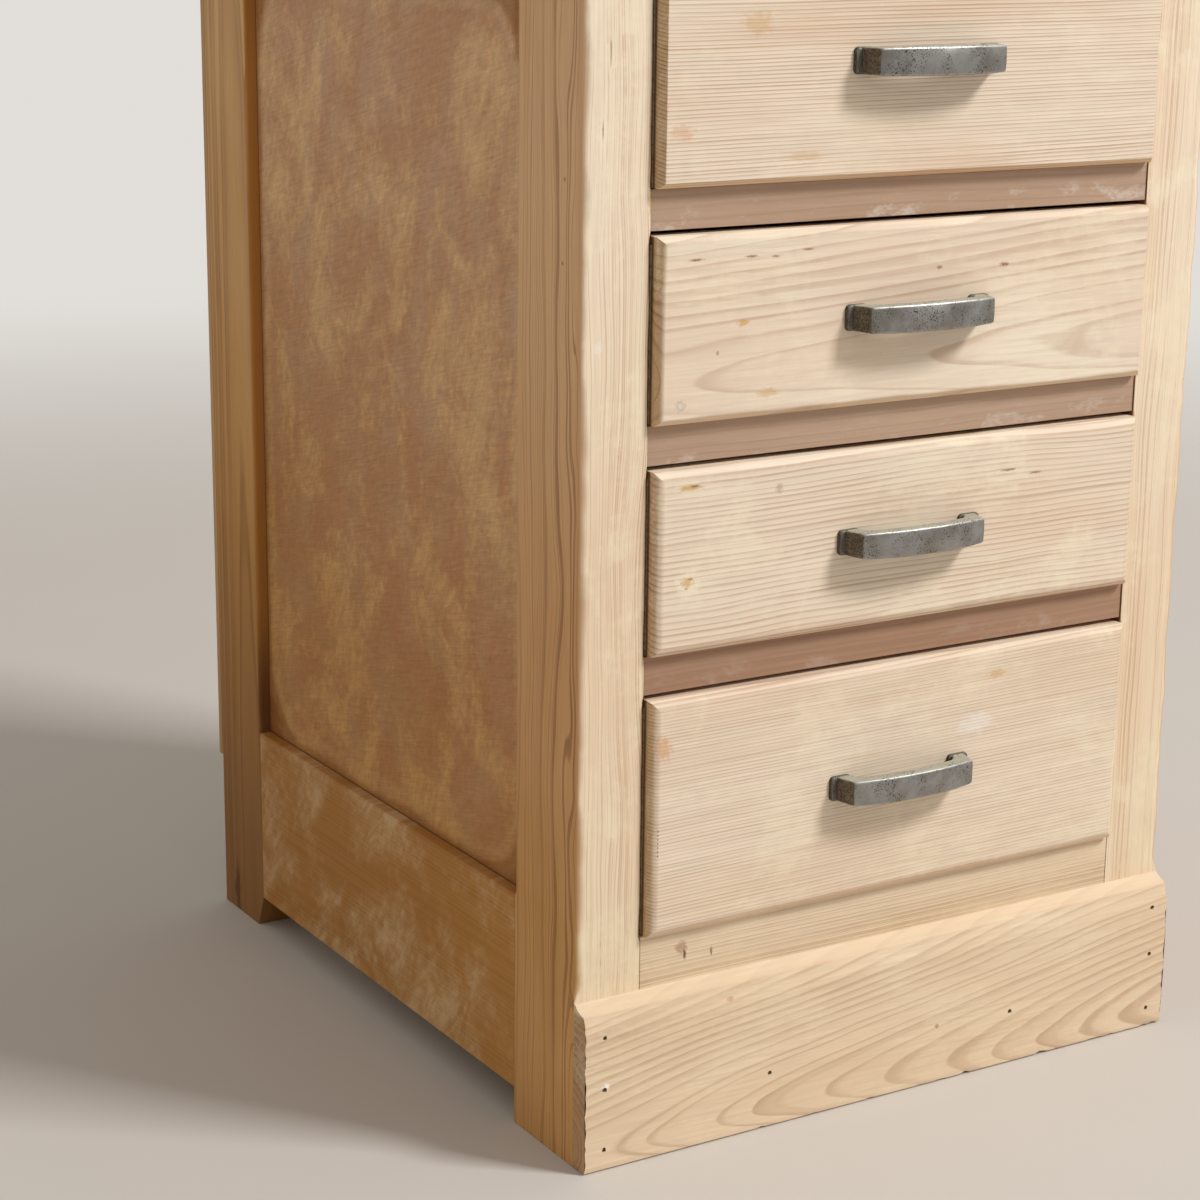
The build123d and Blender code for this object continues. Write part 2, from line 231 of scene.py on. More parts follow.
def rounded_ring(limits, radii):
    """Points round a rectangle with rounded corners, each with how far it is into its corner."""
    low_a, high_a, low_b, high_b = limits
    corners = ((low_a, low_b, 1, 1), (high_a, low_b, -1, 1), (high_a, high_b, -1, -1), (low_a, high_b, 1, -1))
    ring = []
    for number, ((a, b, into_a, into_b), radius) in enumerate(zip(corners, radii)):
        for step in range(corner_steps + 1):
            share = step / corner_steps
            turn = math.radians(180 + 90 * (number + share))
            place_a = a + into_a * radius + radius * math.cos(turn)
            place_b = b + into_b * radius + radius * math.sin(turn)
            ring.append((place_a, place_b, math.sin(math.pi * share)))
    return ring


def worn_bar(node, low, high, along, arrises, edges=None, ends=(1, 1, 1, 1), end=fine_arris,
             pitch=coarse_pitch, mirrored=False):
    """A bar of wood whose four long arrises are rounded by radii that may change along it.

    Each arris is a radius or a function of the place along the bar. Edges may move the bar's four sides, and
    ends says which of those sides are rounded over at the two ends.
    """
    a = (along + 1) % 3
    b = (along + 2) % 3
    start, stop = low[along], high[along]
    seed = sum(map(ord, node)) * 0.173
    rows = max(2, round((stop - start) / pitch))
    stations = []
    for turn in (0.0, 0.5):
        angle = turn * math.pi / 2
        stations.append((start + end * (1 - math.cos(angle)), end * (1 - math.sin(angle))))
    inner = [start + end + (stop - start - 2 * end) * row / rows for row in range(rows + 1)]
    stations += [(place, 0.0) for place in inner]
    stations += [(start + stop - place, inset) for place, inset in reversed(stations[:2])]

    points, arris = [], []
    for place, inset in stations:
        limits = [low[a], high[a], low[b], high[b]]
        if edges:
            limits = edges(place, limits)
        for side in range(4):
            limits[side] += inset * ends[side] * (1 if side % 2 == 0 else -1)
        radii = []
        for corner, radius in enumerate(arrises):
            radius = radius(place) if callable(radius) else radius
            radii.append(radius * (1 + 0.3 * wander(place, seed + corner, arris_wave)))
        for place_a, place_b, depth in rounded_ring(limits, radii):
            point = [0.0, 0.0, 0.0]
            point[along], point[a], point[b] = place, place_a, place_b
            points.append(point)
            arris.append(depth)
    count = 4 * (corner_steps + 1)
    faces = skin(len(stations), count)
    return make_piece(node, "wood", points, faces, arris, mirrored)


def both_sides(name):
    """A left-hand node and its right-hand twin, with whether it is mirrored."""
    return ((f"{name}_left", False), (f"{name}_right", True))


def post_outer_arris(z):
    """Square behind the plinth and rubbed unevenly round above it."""
    rubbed = smooth(z, plinth_high.z, plinth_high.z + rub_fade)
    uneven = 1 + 0.55 * wander(z, 4.2, 0.055) + 0.3 * wander(z, 9.7, 0.016)
    return fine_arris + rubbed * post_arris * uneven


def post_inner_arris(z):
    """Eased beside the drawers and crisp beside the rails between them."""
    eased = 0.0
    for number in drawers:
        low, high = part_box(f"drawer_{number}_front")
        beside = smooth(z, low.z - ease_fade, low.z) * (1 - smooth(z, high.z, high.z + ease_fade))
        eased = max(eased, beside)
    return fine_arris + eased * opening_arris * (1 + 0.4 * wander(z, 1.9, 0.02))


def post_panel_arris(z):
    """Bevelled along the panel only."""
    beside = smooth(z, panel_span_z[0], panel_span_z[0] + frame_fade)
    beside *= 1 - smooth(z, panel_span_z[1] - frame_fade, panel_span_z[1])
    return fine_arris + beside * frame_arris * (1 + 0.3 * wander(z, 6.1, 0.03))


def tapered_foot(z, limits):
    """The rear post's front edge, drawn back below the side rail."""
    drawn = foot_taper * (1 - min(1.0, z / foot_rise))
    return [limits[0], limits[1], limits[2] + drawn, limits[3]]


def add_posts():
    for node, mirrored in both_sides("front_post"):
        arrises = (post_outer_arris, post_inner_arris, fine_arris, post_panel_arris)
        worn_bar(node, post_low, post_high, 2, arrises, pitch=fine_pitch, mirrored=mirrored)
    for node, mirrored in both_sides("rear_post"):
        arrises = (post_panel_arris, fine_arris, soft_arris, soft_arris)
        worn_bar(node, rear_low, rear_high, 2, arrises, tapered_foot, pitch=fine_pitch, mirrored=mirrored)


def add_side_rails():
    """The side rails between their posts, without the tenons that the posts hide."""
    rails = (("side_bottom_rail", side_rail_low, side_rail_high, soft_arris),
             ("side_top_rail", side_top_low, side_top_high, fine_arris))
    for name, rail_low, rail_high, second_arris in rails:
        low = Vector((rail_low.x, panel_span_y[0], rail_low.z))
        high = Vector((rail_high.x, panel_span_y[1], rail_high.z))
        arrises = (soft_arris, second_arris, fine_arris, fine_arris)
        for node, mirrored in both_sides(name):
            worn_bar(node, low, high, 1, arrises, mirrored=mirrored)


def add_front_rails():
    for node in ("front_top_rail", "drawer_rail_1", "drawer_rail_2", "drawer_rail_3", "front_bottom_rail"):
        low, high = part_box(node)
        low.x, high.x = inner_x, -inner_x
        worn_bar(node, low, high, 0, (fine_arris,) * 4)


def add_top():
    low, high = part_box("top_board")
    worn_bar("top_board", low, high, 0, (soft_arris, fine_arris, fine_arris, top_arris), ends=(1, 0, 0, 1),
             end=top_arris)


def plinth_section(x):
    """The plinth's outline in (y, z) at a place along it, with its lower edge a little chipped."""
    face, back = plinth_low.y, plinth_high.y
    foot, top = plinth_low.z, plinth_high.z
    chipped = max(0.0, wander(x, 2.3, chip_length) - 0.25) * plinth_chip
    flat_end = Vector((back - plinth_flat, top))
    hollow_end = Vector((face + hollow_setback, top - hollow_drop + hollow_waver * wander(x, 7.7, 0.03)))
    slope_end = Vector((face, top - slope_drop + slope_waver * wander(x, 5.5, 0.06)))
    chord = hollow_end - flat_end
    bend = (flat_end + hollow_end) / 2 + Vector((-chord.y, chord.x)).normalized() * 2 * hollow_sag
    outline = [(back, foot), (back, top), tuple(flat_end)]
    for step in range(1, hollow_steps + 1):
        share = step / hollow_steps
        point = flat_end * (1 - share) ** 2 + bend * 2 * share * (1 - share) + hollow_end * share ** 2
        outline.append(tuple(point))
    for step in range(1, slope_steps):
        outline.append(tuple(hollow_end + (slope_end - hollow_end) * step / slope_steps))
    for step in range(plinth_face_steps):
        share = step / plinth_face_steps
        outline.append((face, slope_end.y + (foot + foot_lip - slope_end.y) * share))
    outline.append((face, foot + foot_lip + chipped))
    outline.append((face + foot_lip_setback, foot + chipped))
    return outline


def add_plinth():
    """The plinth, rough at its sawn ends, with the nail holes drilled into it."""
    length = plinth_high.x - plinth_low.x
    rows = round(length / fine_pitch)
    points = []
    for row in range(rows + 1):
        x = plinth_low.x + length * row / rows
        outer = {0: 1, rows: -1}.get(row, 0)
        for y, z in plinth_section(x):
            coarse = fray_coarse * wander(z, 3.3 + outer, 0.008)
            frayed = fray + coarse + fray_fine * wander(z, 8.1 + outer, 0.0035)
            points.append((x + outer * max(0.0, frayed), y, z))
    count = len(plinth_section(plinth_low.x))
    piece = make_piece("plinth_board", "wood", points, skin(rows + 1, count), [0.0] * len(points),
                       crease=math.radians(24))
    drill_nail_holes(piece)


def plinth_nail_places():
    """Where the plinth's nails are driven: three at each end and two between."""
    middle = plinth_high.z / 2
    places = [(nail_low, nail_spread)]
    places += [(z, -plinth_low.x - nail_edge) for z in (nail_edge, middle, plinth_high.z - nail_top_drop)]
    return [(side * x, z) for z, x in places for side in (-1, 1)]


def drill_nail_holes(piece):
    points, faces = [], []
    for x, z in plinth_nail_places():
        first = len(points)
        for y in (plinth_low.y - nail_hole_depth, plinth_low.y + nail_hole_depth):
            for k in range(nail_hole_sides):
                turn = 2 * math.pi * k / nail_hole_sides
                uneven = nail_hole_radius * (1 + 0.25 * wander(k * 0.4, x * 40 + z * 90, 1.0))
                points.append((x + uneven * math.cos(turn), y, z + uneven * math.sin(turn)))
        faces += [tuple(first + k for k in reversed(face)) for face in skin(2, nail_hole_sides)]
    cut_away(piece, points, faces)


def cut_away(piece, points, faces):
    """Cut closed shapes out of a piece."""
    shape = bpy.data.meshes.new("cutter")
    shape.from_pydata(points, [], faces)
    cutter = add_object("cutter", shape)
    cut = piece.modifiers.new("cut", "BOOLEAN")
    cut.object = cutter
    cut.solver = "EXACT"
    piece.modifiers.move(1, 0)
    graph = bpy.context.evaluated_depsgraph_get()
    kept = bpy.data.meshes.new_from_object(piece.evaluated_get(graph))
    piece.modifiers.clear()
    kept.name = piece.data.name
    piece.data = kept
    bpy.data.objects.remove(cutter)


def front_lines(low, high):
    """Grid lines across a drawer front, close together over its bevels."""
    inside = high - low - 2 * edge_lines[-1]
    steps = round(inside / face_pitch)
    middle = [low + edge_lines[-1] + inside * step / steps for step in range(1, steps)]
    return [low + line for line in edge_lines] + middle + [high - line for line in reversed(edge_lines)]


def planed_front(number, rounding, waver):
    """A drawer front whose edges are planed to a bevel by hand, a little unevenly."""
    node = f"drawer_{number}_front"
    low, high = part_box(node)
    xs = front_lines(low.x, high.x)
    zs = front_lines(low.z, high.z)

    def depth(x, z):
        sides = ((x - low.x, z, 1.3), (high.x - x, z, 2.6), (z - low.z, x, 3.9), (high.z - z, x, 5.2))
        inset, along, side = min(sides)
        long_waves = wander(along, number * 7 + side, 0.045)
        uneven = waver * (long_waves + 0.5 * wander(along, number * 5 + side, 0.011))
        planed = inset + uneven * smooth(inset, 0.0, waver_fade)
        slope = front_bevel_depth * (1 - planed / front_bevel_inset)
        near = max(rounding - abs(slope), 0.0) / rounding
        return max(slope, 0.0) + near * near * rounding / 4

    points, arris = [], []
    for x in xs:
        for z in zs:
            drop = depth(x, z)
            points.append((x, low.y + min(drop, front_bevel_depth), z))
            rubbed = 1 - smooth(abs(drop - rubbed_depth), 0.0, rubbed_fade)
            arris.append(rubbed if drop > level_face else 0.0)
    columns, rows = len(xs), len(zs)
    faces = []
    for i in range(columns - 1):
        for k in range(rows - 1):
            here = i * rows + k
            quad = (here, here + rows, here + rows + 1, here + 1)
            mitre_rises = (i < columns / 2) == (k < rows / 2)
            if mitre_rises:
                faces += [(quad[0], quad[1], quad[2]), (quad[0], quad[2], quad[3])]
            else:
                faces += [(quad[0], quad[1], quad[3]), (quad[1], quad[2], quad[3])]
    rim = list(range(rows)) + [i * rows + rows - 1 for i in range(1, columns)]
    rim += [(columns - 1) * rows + k for k in range(rows - 2, -1, -1)]
    rim += [i * rows for i in range(columns - 2, 0, -1)]
    first = len(points)
    points += [(points[k][0], high.y, points[k][2]) for k in rim]
    arris += [0.0] * len(rim)
    for k in range(len(rim)):
        after = (k + 1) % len(rim)
        faces.append((rim[k], rim[after], first + after, first + k))
    faces.append(tuple(range(first, first + len(rim))))
    piece = make_piece(node, "wood", points, faces, arris, crease=math.radians(32))
    cut_laps(piece, number)


def cut_laps(piece, number):
    """Let the drawer's sides into the ends of its front."""
    gap = Vector((lap_gap, lap_gap, lap_gap))
    points, faces = [], []
    for hand in hands:
        low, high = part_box(f"drawer_{number}_side_{hand}")
        low, high = low - gap, high + gap
        first = len(points)
        for y in (low.y, high.y):
            points += [(low.x, y, low.z), (high.x, y, low.z), (high.x, y, high.z), (low.x, y, high.z)]
        faces += [tuple(first + k for k in reversed(face)) for face in skin(2, 4)]
    cut_away(piece, points, faces)


def add_drawers():
    edges = {1: (crisp_blend, crisp_waver), 2: (eased_blend, planed_waver), 3: (soft_blend, planed_waver),
             4: (soft_blend, planed_waver)}
    for number, (rounding, waver) in edges.items():
        planed_front(number, rounding, waver)
        for hand in hands:
            node = f"drawer_{number}_side_{hand}"
            low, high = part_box(node)
            worn_bar(node, low, high, 1, (soft_arris,) * 4)
        node = f"drawer_{number}_back"
        low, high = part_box(node)
        worn_bar(node, low, high, 0, (soft_arris,) * 4)
        cast_handle(number)


def bow_line(root, corner, reach, crown, rounding):
    """Half of a bow seen from above, as (x, out) points from its root to its middle."""
    start, bend = Vector((root, 0.0)), Vector((corner, reach))
    radius = (corner ** 2 + (crown - reach) ** 2) / (2 * (crown - reach))
    spread = math.asin(corner / radius)
    bow_start = Vector((math.cos(spread), math.sin(spread)))
    into_leg = (start - bend).normalized()
    into_bow = Vector((-bow_start.x, bow_start.y))
    reach_leg, reach_bow = bend + into_leg * rounding, bend + into_bow * rounding
    line = [start + (reach_leg - start) * step / leg_points for step in range(leg_points)]
    for step in range(corner_points + 1):
        share = step / corner_points
        line.append(reach_leg * (1 - share) ** 2 + bend * 2 * share * (1 - share) + reach_bow * share ** 2)
    turn_start = math.asin(reach_bow.x / radius)
    for step in range(1, bow_points + 1):
        turn = turn_start * (1 - step / bow_points)
        line.append(Vector((radius * math.sin(turn), crown - radius + radius * math.cos(turn))))
    return line


def bar_section(span, half, cushion):
    """A section through a handle: its edges are worn round and its outer face is a little cushioned."""
    ring = rounded_ring((0.0, span, -half, half), (handle_edge,) * 4)
    face = 2 * (corner_steps + 1)
    foot, top = ring[face - 1][1], ring[face][1]
    shares = [step / (cushion_steps + 1) for step in range(1, cushion_steps + 1)]
    ring[face:face] = [(span, foot + (top - foot) * share, 0.0) for share in shares]
    return [(across - cushion * (across / span) * (up / half) ** 2, up, depth) for across, up, depth in ring]


def cast_handle(number):
    """A bow of cast metal on two moulded pads, worn soft at its edges."""
    node = f"drawer_{number}_handle"
    low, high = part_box(node)
    base = high.y
    centre_z = (low.z + high.z) / 2
    outer = bow_line(handle_root, handle_corner, handle_projection, handle_crown, outer_corner)
    inner = bow_line(handle_root - leg_thickness, handle_corner - leg_thickness,
                     handle_projection - bar_thickness, handle_crown - bar_thickness, inner_corner)
    pairs = [(Vector((-o.x, o.y)), Vector((-i.x, i.y))) for o, i in zip(outer, inner)]
    pairs += [(o, i) for o, i in reversed(list(zip(outer, inner))[:-1])]
    points, arris = [], []
    for o, i in pairs:
        span = (o - i).length
        outward = (o - i).normalized()
        half = handle_half_height + handle_swell * (1 - (o.x / handle_root) ** 2)
        for across, up, depth in bar_section(span, half, handle_cushion * outward.y ** 4):
            place = i + outward * across
            lump = Vector((place.x, up, place.y)) * casting_lumps + Vector((number * 9, 0, 0))
            uneven = abs(casting_unevenness * noise.noise(lump))
            place = place - outward * uneven
            points.append((place.x, base - place.y, centre_z + up * (1 - uneven / half)))
            arris.append(depth)
    count = 4 * (corner_steps + 1) + cushion_steps
    faces = [tuple(reversed(face)) for face in skin(len(pairs), count)]
    for side in (-1, 1):
        add_pad(points, faces, arris, side * (handle_root - leg_thickness / 2), base, centre_z)
    make_piece(node, "casting", points, faces, arris, crease=math.radians(40))


def add_pad(points, faces, arris, x, base, z):
    """A moulded pad under one leg of a handle, swelling to a rounded rim."""
    levels = [(0.0, 0.0)]
    for step in range(corner_steps + 1):
        turn = math.radians(90 * step / corner_steps)
        levels.append((pad_thickness - pad_edge * (1 - math.sin(turn)), pad_edge * (1 - math.cos(turn))))
    first = len(points)
    for out, inset in levels:
        limits = (x - pad_half_width + inset, x + pad_half_width - inset,
                  z - pad_half_height + inset, z + pad_half_height - inset)
        for place_x, place_z, _ in rounded_ring(limits, (pad_corner - inset * 0.5,) * 4):
            points.append((place_x, base - out, place_z))
            arris.append(0.0)
    count = 4 * (corner_steps + 1)
    faces += [tuple(first + k for k in face) for face in skin(len(levels), count)]


# Reckoning on node trees

def feed(socket, value):
    """Link a socket to an output, or set its value."""
    value = value.socket if isinstance(value, Output) else value
    if isinstance(value, bpy.types.NodeSocket):
        socket.id_data.links.new(value, socket)
    else:
        socket.default_value = value


def put(tree, kind, sockets=None, **options):
    """Add a node with its options and inputs."""
    node = tree.nodes.new(f"ShaderNode{kind}")
    for option, value in options.items():
        setattr(node, option, value)
    for name, value in (sockets or {}).items():
        feed(node.inputs[name], value)
    return node


class Output:
    """What a node gives out: a number, vector or colour that can be reckoned with in its tree."""

    def __init__(self, tree, socket):
        self.tree = tree
        self.socket = socket

    def put(self, kind, sockets, output=0, **options):
        """One output of a new node in the same tree."""
        return Output(self.tree, put(self.tree, kind, sockets, **options).outputs[output])

    def reckon(self, operation, first, second=0.0, third=0.0):
        """One step of arithmetic, on numbers or on vectors as this output is."""
        if self.socket.type == "VALUE":
            return self.put("Math", {0: first, 1: second, 2: third}, operation=operation)
        second = (second,) * 3 if isinstance(second, float) else second
        return self.put("VectorMath", {0: first, 1: second}, operation=operation)

    def __add__(self, other):
        return self.reckon("ADD", self, other)

    def __sub__(self, other):
        return self.reckon("SUBTRACT", self, other)

    def __rsub__(self, other):
        return self.reckon("SUBTRACT", other, self)

    def __mul__(self, other):
        return self.reckon("MULTIPLY", self, other)

    def __truediv__(self, other):
        return self.reckon("DIVIDE", self, other)

    def __abs__(self):
        return self.reckon("ABSOLUTE", self)

    def larger(self, other):
        return self.reckon("MAXIMUM", self, other)

    def scaled(self, gain, offset):
        return self.reckon("MULTIPLY_ADD", self, gain, offset)

    def rise(self, low, high):
        """0 below low, 1 above high and a smooth rise between them. With low above high it falls."""
        sockets = {"Value": self, "From Min": low, "From Max": high}
        return self.put("MapRange", sockets, interpolation_type="SMOOTHSTEP")

    def blend(self, first, second):
        """The first colour where this number is 0 and the second where it is 1."""
        return self.put("Mix", {0: self, 6: first, 7: second}, 2, data_type="RGBA", blend_type="MIX")

    def tinted(self, colour):
        """This colour, darkened by another."""
        return self.put("Mix", {0: 1.0, 6: self, 7: colour}, 2, data_type="RGBA", blend_type="MULTIPLY")

    def cloud(self, scale=1.0, detail=2.0, roughness=0.5, distortion=0.0):
        sockets = {"Vector": self, "Scale": scale, "Detail": detail, "Roughness": roughness,
                   "Distortion": distortion}
        return self.put("TexNoise", sockets, "Fac")

    def split(self):
        return [Output(self.tree, socket) for socket in put(self.tree, "SeparateXYZ", {0: self}).outputs]

    def grey(self):
        return self.put("CombineColor", {0: self, 1: self, 2: self})

    def length(self):
        return self.put("VectorMath", {0: self}, "Value", operation="LENGTH")


def join(*parts):
    """A vector from three numbers, at least one of them an output."""
    known = next(part for part in parts if isinstance(part, Output))
    return known.put("CombineXYZ", dict(enumerate(parts)))


# Shader groups of the finishes

a_number = ("Float", 0.0)
a_vector = ("Vector", (0, 0, 0))
a_colour = ("Color", (1, 1, 1, 1))
tone_names = ("Early Colour", "Late Colour", "Blush Colour", "End Colour")
axes = {"x": 0, "y": 1, "z": 2}
spot_raggedness = 2.1
spot_depth = 0.02
wood_specular = 0.3
wood_relief = 0.00025
ply_relief = 0.0002
casting_relief = 0.0003
full_relief = 0.5
faint_relief = 0.4
field_margin = 0.006
field_corner = 0.055
field_waver = 0.018


def new_group(name, inputs, outputs):
    """A shader group with named sockets. Returns the group, what enters it and the sockets that it fills."""
    group = bpy.data.node_groups.new(name, "ShaderNodeTree")
    for socket, (kind, default) in inputs.items():
        made = group.interface.new_socket(socket, in_out="INPUT", socket_type=f"NodeSocket{kind}")
        made.default_value = default
    for socket, kind in outputs.items():
        group.interface.new_socket(socket, in_out="OUTPUT", socket_type=f"NodeSocket{kind}")
    entry = group.nodes.new("NodeGroupInput").outputs
    leave = group.nodes.new("NodeGroupOutput").inputs
    return group, {socket.name: Output(group, socket) for socket in entry if socket.name}, leave


def place_group(group, sockets):
    """Use a shader group in the tree of the outputs that feed it."""
    tree = next(value.tree for value in sockets.values() if isinstance(value, Output))
    node = tree.nodes.new("ShaderNodeGroup")
    node.node_tree = group
    for name, value in sockets.items():
        feed(node.inputs[name], value)
    return {socket.name: Output(tree, socket) for socket in node.outputs}


def make_growth_rings():
    """Growth rings of a log, cut through by the board: latewood lines, fibres and slow changes of tone."""
    numbers = ("Ring Width", "Taper", "Sway", "Variety", "Fineness", "Seed")
    inputs = {"Grain": a_vector, "Lean": a_vector, **dict.fromkeys(numbers, a_number)}
    outputs = dict.fromkeys(("Latewood", "Fibre", "Tone"), "Float")
    group, entry, leave = new_group("growth_rings", inputs, outputs)
    seed, variety = entry["Seed"], entry["Variety"]
    along, across, up = entry["Grain"].split()
    _, lean_a, lean_b = entry["Lean"].split()
    log = join(along, across - lean_a * along, up - lean_b * along)
    seeded = log + join(seed, seed, 0.0)
    bends = {"Vector": seeded * (5.0, 22.0, 22.0), "Scale": 1.0, "Detail": 2.0, "Roughness": 0.4}
    sway = log.put("TexNoise", bends, "Color") - 0.5
    sway = log.put("VectorMath", {0: sway, "Scale": entry["Sway"]}, operation="SCALE")
    radius = ((log + sway) * (0.0, 1.0, 1.0)).length()
    years = (radius - entry["Taper"] * along) / entry["Ring Width"]
    seasons = log.put("TexNoise", {"W": years * 0.21 + seed}, "Fac", noise_dimensions="1D")
    years = years + seasons * (variety * 4.0)
    year = years.reckon("FLOOR", years)
    season = years.reckon("FRACT", years)
    strength = log.put("TexWhiteNoise", {"W": year + seed}, "Value", noise_dimensions="1D")
    late = season.rise(0.42, 0.86).larger(season.rise(0.05, 0.9) * 0.3) * season.rise(1.0, 0.9)
    late = late.reckon("POWER", late, entry["Fineness"]) * (1.0 - strength * variety)
    wane = (seeded * (7.0, 60.0, 60.0)).cloud(1.0, 3.0, 0.6).rise(0.25, 0.65)
    fibre = (seeded * (18.0, 430.0, 430.0)).cloud(1.0, 4.0, 0.7)
    feed(leave["Latewood"], late * wane.scaled(0.5, 0.5) * fibre.scaled(1.2, 0.4))
    feed(leave["Fibre"], fibre)
    feed(leave["Tone"], (seeded * (4.0, 20.0, 20.0)).cloud())
    return group


def make_bare_wood():
    """Colour, roughness and relief of stripped wood from its growth rings, end grain and rubbed arrises."""
    numbers = ("Latewood", "Fibre", "Tone", "End Grain", "Arris", "Blush")
    inputs = {**dict.fromkeys(numbers, a_number), **dict.fromkeys(tone_names, a_colour)}
    outputs = {"Color": "Color", "Roughness": "Float", "Height": "Float"}
    group, entry, leave = new_group("bare_wood", inputs, outputs)
    latewood, fibre, end_grain = entry["Latewood"], entry["Fibre"], entry["End Grain"]
    late_colour, end_colour = entry["Late Colour"], entry["End Colour"]
    blush = entry["Tone"].rise(0.4, 0.68) * entry["Blush"]
    colour = latewood.blend(blush.blend(entry["Early Colour"], entry["Blush Colour"]), late_colour)
    colour = colour.tinted(fibre.scaled(0.36, 0.82).grey())
    sawn = (latewood * 1.2).blend(end_colour, end_colour.tinted((0.42, 0.35, 0.28, 1.0)))
    sawn = sawn.tinted(fibre.scaled(0.7, 0.62).grey())
    colour = (end_grain * 0.85).blend(colour, sawn)
    colour = (entry["Arris"] * fibre * 0.4).blend(colour, late_colour)
    feed(leave["Color"], colour)
    feed(leave["Roughness"], fibre.scaled(0.2, 0.52) + end_grain * 0.12)
    feed(leave["Height"], latewood.scaled(0.55, fibre * 0.6))
    return group


def make_spot():
    """A ragged oval mark at one place."""
    inputs = dict.fromkeys(("Point", "Centre", "Reach"), a_vector)
    group, entry, leave = new_group("spot", inputs, {"Mask": "Float"})
    offset = (entry["Point"] - entry["Centre"]) / entry["Reach"]
    uneven = (offset + entry["Centre"] * 310.0).cloud(2.6, 5.0, 0.7) - 0.5
    feed(leave["Mask"], (offset.length() + uneven * spot_raggedness).rise(1.0, 0.35))
    return group


def make_patches():
    """Cloudy patches where sanding went deeper or left more of the old surface."""
    numbers = dict.fromkeys(("Threshold", "Softness", "Seed"), a_number)
    group, entry, leave = new_group("patches", {"Point": a_vector, "Stretch": a_vector, **numbers},
                                    {"Mask": "Float"})
    threshold, softness, seed = entry["Threshold"], entry["Softness"], entry["Seed"]
    point = entry["Point"] * entry["Stretch"] + join(seed, 0.0, seed)
    broad = point.cloud(1.0, 3.0, 0.55, 0.6)
    value = (point * 9.0).cloud(1.0, 4.0, 0.7).scaled(0.28, broad * 0.72)
    feed(leave["Mask"], value.rise(threshold - softness, threshold + softness))
    return group


def patch_mask(point, stretch, threshold, softness, seed):
    return place_group(patches, {"Point": point, "Stretch": stretch, "Threshold": threshold,
                                 "Softness": softness, "Seed": seed})["Mask"]


def make_sanded_field():
    """The field that a sander reaches inside a frame: past its rounded corners the old finish is left."""
    vectors = dict.fromkeys(("Point", "Centre", "Half Size"), a_vector)
    group, entry, leave = new_group("sanded_field", {**vectors, "Corner": a_number, "Waver": a_number},
                                    {"Left Over": "Float", "Rim": "Float"})
    point, corner = entry["Point"], entry["Corner"]
    past = abs(point - entry["Centre"]) - entry["Half Size"] + join(0.0, corner, corner)
    past = past * (0.0, 1.0, 1.0)
    _, past_y, past_z = past.split()
    inside = past_y.larger(past_z)
    inside = inside.reckon("MINIMUM", inside, 0.0)
    distance = past.larger(0.0).length() + inside - corner
    distance = distance + (point.cloud(14.0, 3.0, 0.6) - 0.5) * entry["Waver"]
    feed(leave["Left Over"], distance.rise(-0.002, 0.004))
    feed(leave["Rim"], abs(distance + 0.007).rise(0.009, 0.0))
    return group


def make_oil_and_painted_shade():
    """Oil and dirt that deepen the wood towards the floor, partly painted shade, and painted shade that
    deepens it towards the back.
    """
    inputs = {"Color": a_colour, "Point": a_vector, "Strength": a_number}
    group, entry, leave = new_group("oil_and_painted_shade", inputs, {"Color": "Color"})
    colour, point = entry["Color"], entry["Point"]
    _, y, z = point.split()
    # Painted shade: the darkening grows towards the back, where the light falls off
    rear = y.rise(-0.15, 0.30).scaled(0.5, 1.0)
    uneven = point.cloud(9.0, 3.0).scaled(0.7, 0.65)
    share = (z.rise(0.72, 0.05) * uneven) * (rear * entry["Strength"])
    feed(leave["Color"], share.blend(colour, colour.tinted((0.78, 0.66, 0.42, 1.0))))
    return group


# Oil, dirt and painted shade, laid over a colour at the given strength
def oiled_and_shaded(colour, point, strength):
    return place_group(oil_and_painted_shade, {"Color": colour, "Point": point, "Strength": strength})["Color"]


def make_bleached():
    """Pale yellowish mottling where the stripper bleached the wood, broken up along the fibres."""
    numbers = dict.fromkeys(("Fibre", "Amount", "Seed"), a_number)
    group, entry, leave = new_group("bleached", {"Color": a_colour, "Point": a_vector, **numbers},
                                    {"Color": "Color"})
    mask = patch_mask(entry["Point"], (13.0, 13.0, 15.0), 0.55, 0.08, entry["Seed"])
    mask = mask * entry["Fibre"].rise(0.3, 0.6) * entry["Amount"]
    feed(leave["Color"], mask.blend(entry["Color"], srgb(246, 233, 205)))
    return group


growth_rings = make_growth_rings()
bare_wood = make_bare_wood()
spot = make_spot()
patches = make_patches()
sanded_field = make_sanded_field()
oil_and_painted_shade = make_oil_and_painted_shade()
bleached = make_bleached()


def wood_tones(*tones):
    """A wood's early, late, blush and end tones, each from its red, green and blue in even light."""
    return {name: srgb(*tone) for name, tone in zip(tone_names, tones)}


